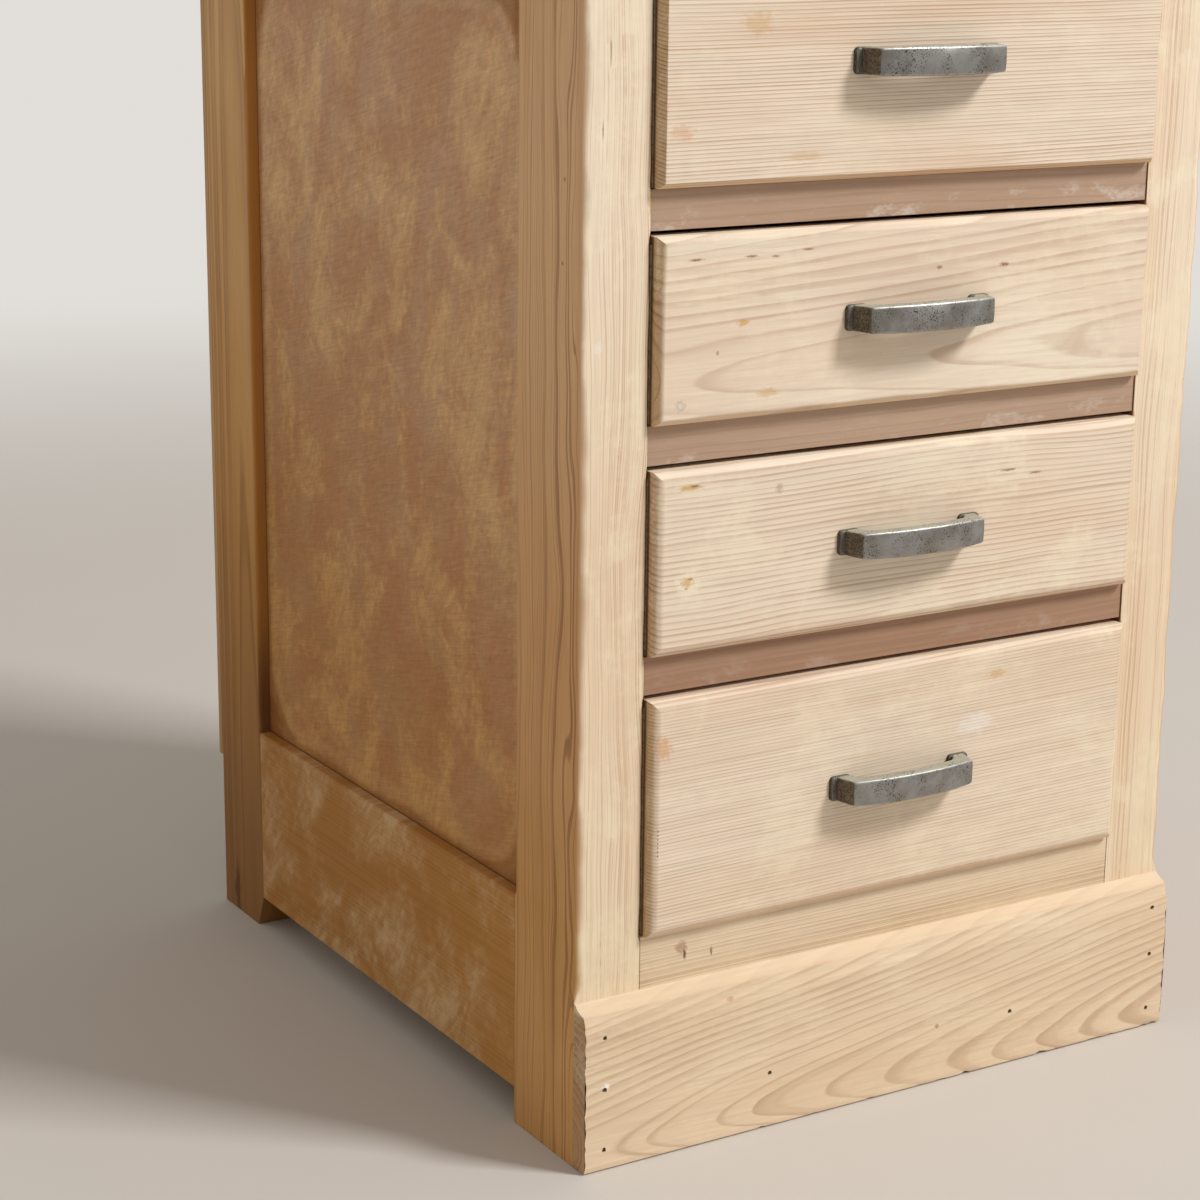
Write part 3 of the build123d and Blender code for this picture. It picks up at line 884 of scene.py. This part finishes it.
# Tones of the wood and its marks
cream = wood_tones((238, 222, 201), (188, 152, 124), (231, 204, 177), (204, 166, 118))
post_cream = wood_tones((243, 225, 201), (194, 152, 118), (236, 209, 179), (190, 150, 104))
plinth_tones = wood_tones((234, 212, 184), (180, 144, 112), (228, 201, 170), (182, 138, 90))
honey = wood_tones((232, 188, 142), (142, 92, 56), (222, 172, 122), (160, 112, 66))
golden = wood_tones((200, 148, 80), (160, 106, 52), (188, 130, 60), (150, 100, 54))
amber = wood_tones((228, 182, 126), (148, 98, 52), (214, 164, 100), (156, 108, 60))
grey_brown = wood_tones((184, 156, 134), (138, 108, 86), (175, 144, 120), (140, 108, 84))
umber = wood_tones((172, 138, 114), (126, 92, 71), (162, 125, 100), (128, 98, 74))
inner_wood = wood_tones((224, 196, 160), (184, 142, 102), (214, 180, 140), (160, 122, 82))
old_varnish = srgb(158, 98, 38)
# Dark varnish in splits, joints and corners, also used as the painted shade in the gaps beside the drawers
dark_varnish_and_shade = srgb(84, 44, 16)
brown_fleck = srgb(140, 92, 52)
ochre_fleck = srgb(206, 160, 88)
rosy_knot = srgb(204, 158, 128)
chalk = srgb(226, 216, 206)
filler_white = srgb(250, 250, 250)
pale_halo = srgb(248, 236, 208)
warm_stain = srgb(214, 160, 110)
pale_sanded = srgb(226, 192, 148)


def new_finish(name):
    """An empty finish: its material, its shader and the point that is being coloured."""
    material = bpy.data.materials.new(name)
    material.use_nodes = True
    tree = material.node_tree
    point = Output(tree, put(tree, "TexCoord").outputs["Object"])
    return material, tree.nodes["Principled BSDF"], point


def facing(point):
    """The way that the surface faces, as three numbers."""
    return point.put("TexCoord", {}, "Normal").split()


def arris_of(point):
    return point.put("Attribute", {}, "Fac", attribute_name="arris")


def grain_point(point, grain, heart):
    """The point seen from the heart of the log, with the grain along the first axis."""
    moved = (point - heart).split()
    return join(*(moved[(axes[grain] + k) % 3] for k in range(3)))


def add_relief(shader, height, depth, strength):
    relief = height.put("Bump", {"Height": height, "Strength": strength, "Distance": depth}, "Normal")
    feed(shader.inputs["Normal"], relief)


def finish_wood(shader, colour, roughness, height, depth, strength):
    """Give a wood's colour, roughness and relief to its shader."""
    feed(shader.inputs["Base Color"], colour)
    feed(shader.inputs["Roughness"], roughness)
    shader.inputs["Specular IOR Level"].default_value = wood_specular
    add_relief(shader, height, depth, strength)


def wood_finish(name, grain, heart, ring, tones, side_tones=None, taper=0.0, lean=(0.0, 0.0), sway=0.003,
                variety=0.4, fineness=1.0, blush=0.5, contrast=1.0, side_contrast=1.0, oil_and_shade=0.3, bleach=0.3,
                seed=0.0, marks=None):
    """Stripped wood of one board. Heart is a point on the axis of the log that the board was cut from.

    Side tones are for a post's outer side. Marks is a function that adds the board's own stains, and on the
    posts, rear posts and drawer fronts also painted shade.
    """
    material, shader, point = new_finish(name)
    normal = facing(point)
    rings = place_group(growth_rings, {
        "Grain": grain_point(point, grain, heart), "Lean": (0.0, *lean), "Ring Width": ring, "Taper": taper,
        "Sway": sway, "Variety": variety, "Fineness": fineness, "Seed": seed})
    if side_tones:
        aside = abs(normal[0]).rise(0.15, 0.85)
        oil_and_shade = aside.scaled(1.0 - oil_and_shade, oil_and_shade)
        bleach = aside.scaled(-bleach, bleach)
        contrast = aside.scaled(side_contrast - contrast, contrast)
        tones = {tone: aside.blend(tones[tone], side_tones[tone]) for tone in tone_names}
    wood = place_group(bare_wood, {
        "Latewood": rings["Latewood"] * contrast, "Fibre": rings["Fibre"], "Tone": rings["Tone"],
        "End Grain": abs(normal[axes[grain]]).rise(0.45, 0.85), "Arris": arris_of(point), "Blush": blush,
        **tones})
    colour = place_group(bleached, {"Color": wood["Color"], "Point": point, "Fibre": rings["Fibre"],
                                    "Amount": bleach, "Seed": seed})["Color"]
    colour = oiled_and_shaded(colour, point, oil_and_shade)
    if marks:
        colour = marks(point, colour)
    finish_wood(shader, colour, wood["Roughness"], wood["Height"], wood_relief, full_relief)
    return material


def add_spots(point, colour, spots):
    """Marks at their own places: each is a centre, a reach, a colour and a strength."""
    for centre, reach, tone, strength in spots:
        mask = place_group(spot, {"Point": point, "Centre": centre, "Reach": reach})["Mask"]
        colour = (mask * strength).blend(colour, tone)
    return colour


def face_spots(face, rows):
    """Spots on a board's front face from (x, z, half width, half height, colour, strength) rows."""
    return [((x, face, z), (half_width, spot_depth, half_height), tone, strength)
            for x, z, half_width, half_height, tone, strength in rows]


def painted_opening_shade(point, colour):
    """Painted dark shade on the inner side of a post, in the narrow gap beside the drawers' ends."""
    gap_shade = abs(point.split()[0]).rise(-inner_x + 0.0006, -inner_x + 0.0001)
    return (gap_shade * 0.8).blend(colour, dark_varnish_and_shade)


def post_marks(point, colour):
    """Two small knots on the left post's side, flecks on its face and painted shade in the gap beside the
    drawers.
    """
    knots = ((-0.248, 0.643), (-0.246, 0.592))
    spots = [((post_low.x, y, z), (0.01, 0.0014, 0.0018), brown_fleck, 0.8) for y, z in knots]
    spots += face_spots(post_low.y, [(-0.230, 0.718, 0.0060, 0.016, pale_halo, 0.5),
                                     (-0.235, 0.671, 0.0060, 0.012, pale_halo, 0.5),
                                     (-0.230, 0.720, 0.0009, 0.011, brown_fleck, 0.6),
                                     (-0.235, 0.673, 0.0008, 0.008, brown_fleck, 0.6),
                                     (-0.237, 0.542, 0.0040, 0.006, filler_white, 0.3),
                                     (inner_x, 0.629, 0.0030, 0.010, ochre_fleck, 0.7)])
    return painted_opening_shade(point, add_spots(point, colour, spots))


def recess_varnish_and_shade(point, colour):
    """Old varnish left on the rear post in the corner beside the panel, and a darkening low on its foot that
    is partly dirt and partly painted shade near the floor.
    """
    _, y, z = point.split()
    rail_top = panel_span_z[0]
    reach = y - (point * (60.0, 60.0, 18.0)).cloud(1.0, 3.0) * 0.0022
    corner = reach.rise(rear_low.y + 0.0012, rear_low.y - 0.0006) * z.rise(rail_top - 0.002, rail_top + 0.002)
    tone = z.rise(rail_top + 0.11, rail_top + 0.02).blend(srgb(176, 118, 48), dark_varnish_and_shade)
    colour = (corner * 0.9).blend(colour, tone)
    # Darker towards the floor and at the foot: partly dirt, partly painted shade
    colour = (z.rise(0.42, 0.02) * 0.7).blend(colour, srgb(124, 80, 36))
    foot = [((rear_low.x, rear_low.y + 0.050, 0.018), (0.03, 0.008, 0.030), dark_varnish_and_shade, 0.75)]
    return add_spots(point, colour, foot)


def scraped_rail(point, colour):
    """Pale smears on a side rail's face, where it was scraped and sanded."""
    _, y, z = point.split()
    swirl = join(0.0, z.scaled(0.7, y), z)
    strokes = (swirl * (1.0, 60.0, 24.0)).cloud(1.0, 4.0, 0.7, 0.8)
    scraped = patch_mask(point, (1.0, 12.0, 14.0), 0.53, 0.12, 3.0) * strokes.rise(0.2, 0.7)
    return (scraped * 0.8).blend(colour, pale_sanded)


def chalky_rail(foot, amount):
    """Chalky marks along the lower edge of a drawer rail that stands on the given height."""

    def marks(point, colour):
        smear = patch_mask(point, (26.0, 60.0, 60.0), 0.6, 0.06, 7.0)
        low = point.split()[2].rise(foot + 0.020, foot + 0.004)
        return (smear * low * amount).blend(colour, chalk)

    return marks


def bottom_rail_marks(point, colour):
    """Two dark splits below the lowest drawer."""
    rows = [(-0.168, 0.138, 0.0060, 0.0060, brown_fleck, 0.5),
            (-0.165, 0.133, 0.0016, 0.0060, dark_varnish_and_shade, 0.85),
            (-0.144, 0.131, 0.0014, 0.0040, dark_varnish_and_shade, 0.7)]
    return add_spots(point, colour, face_spots(post_low.y, rows))


def plinth_marks(point, colour):
    """A paler moulding, white filler at a nail hole, and two small knots."""
    hollow_foot = plinth_high.z - hollow_drop
    band = point.split()[2].rise(hollow_foot - 0.002, hollow_foot + 0.001)
    lines = (point * (5.0, 260.0, 420.0)).cloud(1.0, 3.0, 0.6).rise(0.3, 0.75)
    sanded = lines.blend(plinth_tones["Early Colour"], plinth_tones["Blush Colour"])
    colour = (band * 0.75).blend(colour, sanded)
    rows = [(plinth_low.x + 0.0165, plinth_high.z / 2 + 0.0020, 0.0036, 0.0026, filler_white, 0.9),
            (-0.137, 0.100, 0.0032, 0.0026, rosy_knot, 0.7), (0.038, 0.043, 0.0022, 0.0022, brown_fleck, 0.6)]
    return add_spots(point, colour, face_spots(plinth_low.y, rows))


front_marks = {
    1: [(-0.130, 0.735, 0.0140, 0.0100, ochre_fleck, 0.35),
        (-0.093, 0.653, 0.0180, 0.0040, ochre_fleck, 0.30),
        (-0.184, 0.670, 0.0120, 0.0060, warm_stain, 0.45)],
    2: [(-0.172, 0.593, 0.0070, 0.0011, brown_fleck, 0.8), (-0.131, 0.593, 0.0060, 0.0010, brown_fleck, 0.8),
        (-0.113, 0.592, 0.0040, 0.0010, brown_fleck, 0.7), (-0.088, 0.595, 0.0060, 0.0010, brown_fleck, 0.7),
        (0.017, 0.577, 0.0028, 0.0016, brown_fleck, 0.7), (0.071, 0.576, 0.0050, 0.0018, brown_fleck, 0.8),
        (-0.136, 0.552, 0.0055, 0.0030, ochre_fleck, 0.7), (-0.117, 0.506, 0.0100, 0.0035, ochre_fleck, 0.5),
        (-0.155, 0.534, 0.0014, 0.0020, brown_fleck, 0.6), (-0.182, 0.503, 0.0046, 0.0042, brown_fleck, 0.45),
        (-0.182, 0.503, 0.0034, 0.0031, chalk, 0.85)],
    3: [(-0.172, 0.450, 0.0160, 0.0055, pale_halo, 0.4), (-0.173, 0.450, 0.0130, 0.0022, ochre_fleck, 0.8),
        (-0.170, 0.451, 0.0050, 0.0010, brown_fleck, 0.8),
        (-0.174, 0.388, 0.0110, 0.0105, pale_halo, 0.6), (-0.174, 0.389, 0.0060, 0.0050, ochre_fleck, 0.65),
        (-0.172, 0.391, 0.0030, 0.0008, brown_fleck, 0.6), (-0.175, 0.385, 0.0022, 0.0008, brown_fleck, 0.6),
        (-0.105, 0.443, 0.0040, 0.0040, brown_fleck, 0.35),
        (0.084, 0.436, 0.0090, 0.0011, brown_fleck, 0.7), (0.107, 0.432, 0.0070, 0.0010, brown_fleck, 0.7)],
    4: [(0.082, 0.293, 0.0100, 0.0040, ochre_fleck, 0.5), (0.063, 0.260, 0.0220, 0.0090, filler_white, 0.3),
        (-0.190, 0.281, 0.0080, 0.0110, warm_stain, 0.6)]
    + [(-0.193, 0.209 + 0.0028 * k, 0.0006, 0.0009, dark_varnish_and_shade, 0.8) for k in range(7)],
}
# How strongly each drawer front's downward-facing lower bevel is painted with warm shade
underside_shade = {1: 1.0, 2: 0.7, 3: 0.35, 4: 0.35}


def front_marks_of(number):
    """A drawer front's own flecks and knots, painted warm shade on its downward-facing lower bevel and
    painted dark shade on its ends in the gap beside the posts.
    """

    def marks(point, colour):
        low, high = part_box(f"drawer_{number}_front")
        colour = add_spots(point, colour, face_spots(low.y, front_marks[number]))
        # Painted warm shade on the faces that turn down, the lower bevel most
        below = facing(point)[2].rise(-0.25, -0.65) * underside_shade[number]
        colour = below.blend(colour, colour.tinted((0.94, 0.81, 0.66, 1.0)))
        x, y, _ = point.split()
        # Painted dark shade on the front's ends, in the gap beside the posts
        end = abs(x).rise(high.x - 0.0005, high.x - 0.0001)
        gap_shade = end * y.rise(post_low.y - 0.0018, post_low.y - 0.0004)
        return (gap_shade * 0.75).blend(colour, dark_varnish_and_shade)

    return marks


def panel_stains():
    """Old varnish in the panel's four corners and an ochre fleck on its front edge."""
    front, rear = panel_span_y
    foot, top = panel_span_z
    places = ((rear - 0.004, foot + 0.004, 0.030, 0.034, old_varnish, 0.7),
              (front + 0.004, foot + 0.002, 0.020, 0.024, old_varnish, 0.6),
              (front + 0.010, top - 0.020, 0.018, 0.040, old_varnish, 0.6),
              (rear - 0.004, top - 0.010, 0.020, 0.040, old_varnish, 0.6),
              (front + 0.003, 0.560, 0.010, 0.030, ochre_fleck, 0.6))
    return [((panel_x, y, z), (1.0, reach_y, reach_z), tone, strength)
            for y, z, reach_y, reach_z, tone, strength in places]


def side_panel_finish():
    """Thin plywood, patchily sanded: pink-brown veneer, ochre patches and old varnish in the corners."""
    material, shader, point = new_finish("patchy_plywood")
    _, y, z = point.split()
    hair = (join(0.0, y, y.scaled(0.25, z)) * (1.0, 40.0, 560.0)).cloud(1.0, 3.0, 0.65, 0.6)
    swirl = join(0.0, z.scaled(0.45, y), z)
    strokes = (swirl * (1.0, 80.0, 26.0)).cloud(1.0, 4.0, 0.7, 0.8)
    ochre_patch = patch_mask(point, (1.0, 15.0, 13.0), 0.535, 0.085, 1.0) * strokes.rise(0.1, 0.75)
    ashen_patch = patch_mask(point, (1.0, 24.0, 16.0), 0.52, 0.12, 12.0)
    pink_brown, ochre, ashen = srgb(202, 152, 112), srgb(236, 195, 142), srgb(208, 170, 138)
    colour = (ashen_patch * 0.6).blend(pink_brown, ashen)
    colour = (ochre_patch * 0.95).blend(colour, ochre)
    spans = (panel_span_y, panel_span_z)
    field = place_group(sanded_field, {
        "Point": point, "Centre": [0.0] + [sum(span) / 2 for span in spans],
        "Half Size": [0.0] + [(high - low) / 2 - field_margin for low, high in spans],
        "Corner": field_corner, "Waver": field_waver})
    colour = (field["Rim"] * strokes.rise(0.2, 0.7) * 0.6).blend(colour, pale_sanded)
    colour = (field["Left Over"] * 0.55).blend(colour, srgb(168, 116, 58))
    colour = add_spots(point, colour, panel_stains())
    foot, rear = panel_span_z[0], panel_span_y[1]
    joint = z.rise(foot + 0.0022, foot + 0.0006).larger(y.rise(rear - 0.0022, rear - 0.0006))
    colour = (joint * 0.6).blend(colour, dark_varnish_and_shade)
    scuffed = (swirl * (1.0, 190.0, 120.0)).cloud(1.0, 4.0, 0.75, 0.5)
    colour = colour.tinted((scuffed.scaled(0.5, hair * 0.6) + 0.46).grey())
    finish_wood(shader, oiled_and_shaded(colour, point, 1.1), hair.scaled(0.15, 0.55), hair, ply_relief, faint_relief)
    return material


def plywood_finish(name, grain, tone, dark):
    """Plain plywood with a straight fine figure."""
    material, shader, point = new_finish(name)
    log = grain_point(point, grain, (0.0, 0.0, 0.0))
    fine = (log * (6.0, 420.0, 420.0)).cloud(1.0, 3.0, 0.6)
    broad = (log * (2.0, 26.0, 26.0)).cloud(1.0, 3.0, 0.5, 0.5)
    colour = fine.scaled(0.5, broad * 0.5).rise(0.32, 0.7).blend(tone, dark)
    finish_wood(shader, colour, fine.scaled(0.2, 0.55), fine, ply_relief, faint_relief)
    return material


def cast_metal_finish():
    """Grey cast metal, rubbed bright at its arrises, pitted, dusty on top, and browned on the legs."""
    material, shader, point = new_finish("worn_casting")
    normal = facing(point)
    mottle = point.cloud(65.0, 5.0, 0.6)
    pit = point.cloud(950.0).rise(0.55, 0.63) * point.cloud(70.0, 3.0, 0.6).rise(0.38, 0.6)
    colour = mottle.rise(0.3, 0.7).blend(srgb(136, 132, 125), srgb(162, 161, 158))
    bright = arris_of(point) * mottle.rise(0.25, 0.5)
    colour = (bright * 0.25).blend(colour, srgb(204, 205, 204))
    dust = normal[2].rise(0.45, 0.9) * mottle.rise(0.1, 0.4)
    colour = (dust * 0.9).blend(colour, srgb(178, 175, 158))
    rust = abs(normal[0]).rise(0.55, 0.85) * point.cloud(260.0, 4.0, 0.7).rise(0.15, 0.5)
    speckle = point.cloud(800.0, 3.0, 0.6).rise(0.4, 0.62)
    colour = (rust * 0.9).blend(colour, speckle.blend(srgb(116, 99, 72), srgb(54, 46, 35)))
    colour = (pit * 0.85).blend(colour, srgb(52, 45, 36))
    pad_face = handle_base - pad_thickness
    dirt = point.split()[1].rise(pad_face - 0.0012, pad_face + 0.0010)
    colour = (dirt * 0.8).blend(colour, speckle.blend(srgb(96, 88, 76), srgb(48, 40, 30)))
    feed(shader.inputs["Base Color"], colour)
    dull = (rust.larger(dirt) * 0.55).larger(dust * 0.8)
    feed(shader.inputs["Metallic"], 0.95 - dull)
    feed(shader.inputs["Roughness"], mottle.scaled(0.24, 0.28) + dull * 0.5)
    add_relief(shader, mottle * 0.25 - pit * 0.5, casting_relief, faint_relief)
    return material


def steel_finish():
    """Dull steel of nails and screws, with brown spots of rust."""
    material, shader, point = new_finish("dull_steel")
    rust = point.cloud(700.0, 4.0, 0.7).rise(0.45, 0.65)
    feed(shader.inputs["Base Color"], rust.blend(srgb(120, 116, 110), srgb(84, 58, 40)))
    feed(shader.inputs["Metallic"], 0.9 - rust * 0.6)
    feed(shader.inputs["Roughness"], rust.scaled(0.35, 0.35))
    return material


def dress(name, material):
    """Give a finish to a node, or to the piece that stands for it."""
    stand_ins = [piece for piece in (f"{name}_wood", f"{name}_casting") if piece in bpy.data.objects]
    piece = bpy.data.objects[stand_ins[0]] if stand_ins else nodes[name]
    piece.data.materials.clear()
    piece.data.materials.append(material)


def dress_side(side, sign, seed):
    """One side's posts, rails and panel."""
    heart = (sign * (post_low.x + 0.160), post_low.y - 0.050, 0.25)
    dress(f"front_post_{side}", wood_finish(
        f"post_pine_{side}", "z", heart, 0.0027, post_cream, honey, lean=(0.004, 0.012), sway=0.018,
        variety=0.65, fineness=1.7, seed=seed, contrast=0.9, side_contrast=0.62, oil_and_shade=0.3, bleach=0.8,
        marks=post_marks if sign > 0 else painted_opening_shade))
    heart = (sign * (rear_low.x + 0.080), rear_low.y + 0.020, 0.3)
    dress(f"rear_post_{side}", wood_finish(
        f"rear_post_pine_{side}", "z", heart, 0.0050, amber, contrast=0.6, lean=(0.008, 0.014), seed=seed + 4,
        oil_and_shade=1.0, bleach=0.0, marks=recess_varnish_and_shade))
    heart = (sign * (side_rail_low.x + 0.045), 0.0, -0.05)
    for rail in ("bottom", "top"):
        dress(f"side_{rail}_rail_{side}", wood_finish(
            f"side_{rail}_rail_pine_{side}", "y", heart, 0.0034, golden, contrast=0.5, seed=seed + 9, oil_and_shade=0.6,
            bleach=0.0, marks=scraped_rail))
    dress(f"side_panel_{side}", panel_ply)


def dress_carcass():
    dress_side("left", 1, 0.0)
    dress_side("right", -1, 21.0)
    # Rail 3 takes the darker umber tones, which paint in shade from the drawer above it
    rails = (("drawer_rail_1", grey_brown, 0.5), ("drawer_rail_2", grey_brown, 0.35),
             ("drawer_rail_3", umber, 0.15), ("front_top_rail", grey_brown, 0.35))
    for number, (node, tones, chalky) in enumerate(rails):
        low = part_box(node)[0]
        heart = (0.0, low.y + 0.015, low.z - 0.02 - 0.015 * number)
        dress(node, wood_finish(
            f"{node}_finish", "x", heart, 0.0060, tones, seed=30.0 + number, contrast=0.32, sway=0.010,
            oil_and_shade=0.1, bleach=0.0, marks=chalky_rail(low.z, chalky)))
    heart = (0.0, post_low.y + 0.02, -0.03)
    dress("front_bottom_rail", wood_finish(
        "bottom_rail_pine", "x", heart, 0.0026, cream, seed=40.0, contrast=0.75, oil_and_shade=0.4,
        marks=bottom_rail_marks))
    heart = (-0.185, plinth_low.y + 0.026, 0.016)
    dress("plinth_board", wood_finish(
        "plinth_pine", "x", heart, 0.0060, plinth_tones, taper=0.13, variety=0.25, contrast=0.58, sway=0.010,
        seed=2.0, oil_and_shade=0.15, marks=plinth_marks))
    heart = (0.1, -0.03, 0.74)
    dress("top_board", wood_finish("top_pine", "x", heart, 0.0045, cream, taper=0.05, sway=0.008, seed=51.0))
    dress("back_panel", plywood_finish("back_plywood", "z", srgb(206, 168, 122), srgb(176, 132, 88)))
    lengthwise = wood_finish("runner_wood", "y", (0.4, 0.0, -0.3), 0.004, inner_wood, seed=61.0)
    for node in nodes:
        if node.startswith("runner_") or node in ("drawer_guides", "top_kickers"):
            dress(node, lengthwise)
    across = wood_finish("rear_rail_wood", "x", (0.0, 0.1, -0.2), 0.004, inner_wood, seed=64.0)
    for node in ("rear_top_rail", "rear_bottom_rail", "drawer_stops"):
        dress(node, across)
    dress("wire_nails", steel)


front_boards = {
    1: {"heart": (0.0, -0.20, 0.47), "ring": 0.0023, "lean": (0.0, 0.010), "blush": 0.8, "variety": 0.15,
        "contrast": 0.85},
    2: {"heart": (-0.02, -0.245, 0.520), "ring": 0.0070, "lean": (0.0, 0.012), "taper": 0.05, "sway": 0.012,
        "contrast": 0.62, "variety": 0.3, "bleach": 0.5},
    3: {"heart": (0.0, -0.22, 0.24), "ring": 0.0036, "lean": (0.0, 0.004), "sway": 0.011, "contrast": 0.75,
        "variety": 0.2, "bleach": 0.6},
    4: {"heart": (0.0, -0.21, -0.02), "ring": 0.0023, "lean": (0.0, 0.012), "variety": 0.15,
        "contrast": 0.65, "bleach": 0.5},
}


def dress_drawers():
    for number, board in front_boards.items():
        name = f"drawer_{number}"
        dress(f"{name}_front", wood_finish(
            f"{name}_front_pine", "x", tones=cream, seed=70.0 + number, oil_and_shade=0.1, marks=front_marks_of(number),
            **board))
        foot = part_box(f"{name}_side_left")[0].z
        heart = (0.3, 0.0, foot - 0.16)
        side = wood_finish(f"{name}_side_wood", "y", heart, 0.0038, inner_wood, seed=80.0 + number)
        for hand in hands:
            dress(f"{name}_side_{hand}", side)
        heart = (0.0, 0.4, foot - 0.10)
        back = wood_finish(f"{name}_back_wood", "x", heart, 0.004, inner_wood, seed=90.0 + number)
        dress(f"{name}_back", back)
        dress(f"{name}_bottom", drawer_ply)
        dress(f"{name}_handle", casting)
        dress(f"{name}_handle_screws", steel)


# The floor, the light and the camera
floor_radius = 4.0
floor_clear = 1.3
floor_sides = 96
floor_roughness = 0.8
floor_mottle = 0.12
floor_tone = srgb(206, 200, 193)
backdrop_tone = srgb(226, 222, 217)
ambient = 0.46
ambient_tone = (1.0, 0.95, 0.88, 1.0)
key_place = Vector((3.4, -4.0, 5.3))
key_size = 1.5
key_power = 385.0
key_target = Vector((0.0, -0.1, 0.4))
camera_place = Vector((-1.0849, -1.66355, 0.8130))
camera_direction = Vector((0.50350, 0.82578, -0.25412))
camera_roll = math.radians(0.64)
camera_lens = 81.262
sensor_width = 36.0


def add_floor():
    """A plain pale floor that fades into the backdrop."""
    turns = [2 * math.pi * k / floor_sides for k in range(floor_sides)]
    rim = [(floor_radius * math.cos(turn), floor_radius * math.sin(turn), 0.0) for turn in turns]
    mesh = bpy.data.meshes.new("floor")
    mesh.from_pydata(rim, [], [tuple(range(floor_sides))])
    floor = add_object("floor", mesh)
    material, shader, point = new_finish("pale_floor")
    feed(shader.inputs["Base Color"], (point.cloud(5.0, 4.0) * floor_mottle).blend(floor_tone, backdrop_tone))
    shader.inputs["Roughness"].default_value = floor_roughness
    fade = point.length().rise(floor_clear, floor_radius * 0.95)
    clear = point.put("BsdfTransparent", {})
    mix = point.put("MixShader", {0: fade, 1: shader.outputs[0], 2: clear})
    feed(point.tree.nodes["Material Output"].inputs["Surface"], mix)
    mesh.materials.append(material)


def add_light():
    world = bpy.data.worlds.new("studio")
    bpy.context.scene.world = world
    world.use_nodes = True
    tree = world.node_tree
    tree.nodes.clear()
    around = Output(tree, put(tree, "TexCoord").outputs["Generated"])
    seen = {socket.name: Output(tree, socket) for socket in put(tree, "LightPath").outputs}
    direct = seen["Is Camera Ray"].larger(seen["Is Transmission Ray"])
    shade = around.put("Background", {"Color": ambient_tone, "Strength": ambient})
    backdrop = around.put("Background", {"Color": backdrop_tone, "Strength": 1.0})
    mix = around.put("MixShader", {0: direct, 1: shade, 2: backdrop})
    room = around.cloud(1.4).rise(0.35, 0.65)
    shine = around.split()[2].rise(-0.1, 0.7).scaled(0.25, room.scaled(0.45, 0.42))
    mirrored = around.put("Background", {"Color": backdrop_tone, "Strength": shine})
    mix = around.put("MixShader", {0: seen["Is Glossy Ray"], 1: mix, 2: mirrored})
    feed(put(tree, "OutputWorld").inputs["Surface"], mix)
    lamp = bpy.data.lights.new("softbox", "AREA")
    lamp.shape = "SQUARE"
    lamp.size = key_size
    lamp.energy = key_power
    holder = add_object("softbox", lamp)
    holder.location = key_place
    holder.rotation_mode = "QUATERNION"
    holder.rotation_quaternion = (key_target - key_place).to_track_quat("-Z", "Y")


def add_camera():
    lens = bpy.data.cameras.new("camera")
    lens.sensor_width = sensor_width
    lens.lens = camera_lens
    camera = add_object("camera", lens)
    camera.location = camera_place
    camera.rotation_mode = "QUATERNION"
    level = camera_direction.to_track_quat("-Z", "Y")
    camera.rotation_quaternion = level @ Quaternion((0.0, 0.0, 1.0), camera_roll)
    bpy.context.scene.camera = camera


panel_ply = side_panel_finish()
drawer_ply = plywood_finish("drawer_plywood", "x", srgb(214, 180, 138), srgb(188, 148, 104))
casting = cast_metal_finish()
steel = steel_finish()
add_posts()
add_side_rails()
add_front_rails()
add_top()
add_plinth()
add_drawers()
dress_carcass()
dress_drawers()
add_floor()
add_light()
add_camera()
bpy.context.scene.view_settings.view_transform = "Standard"
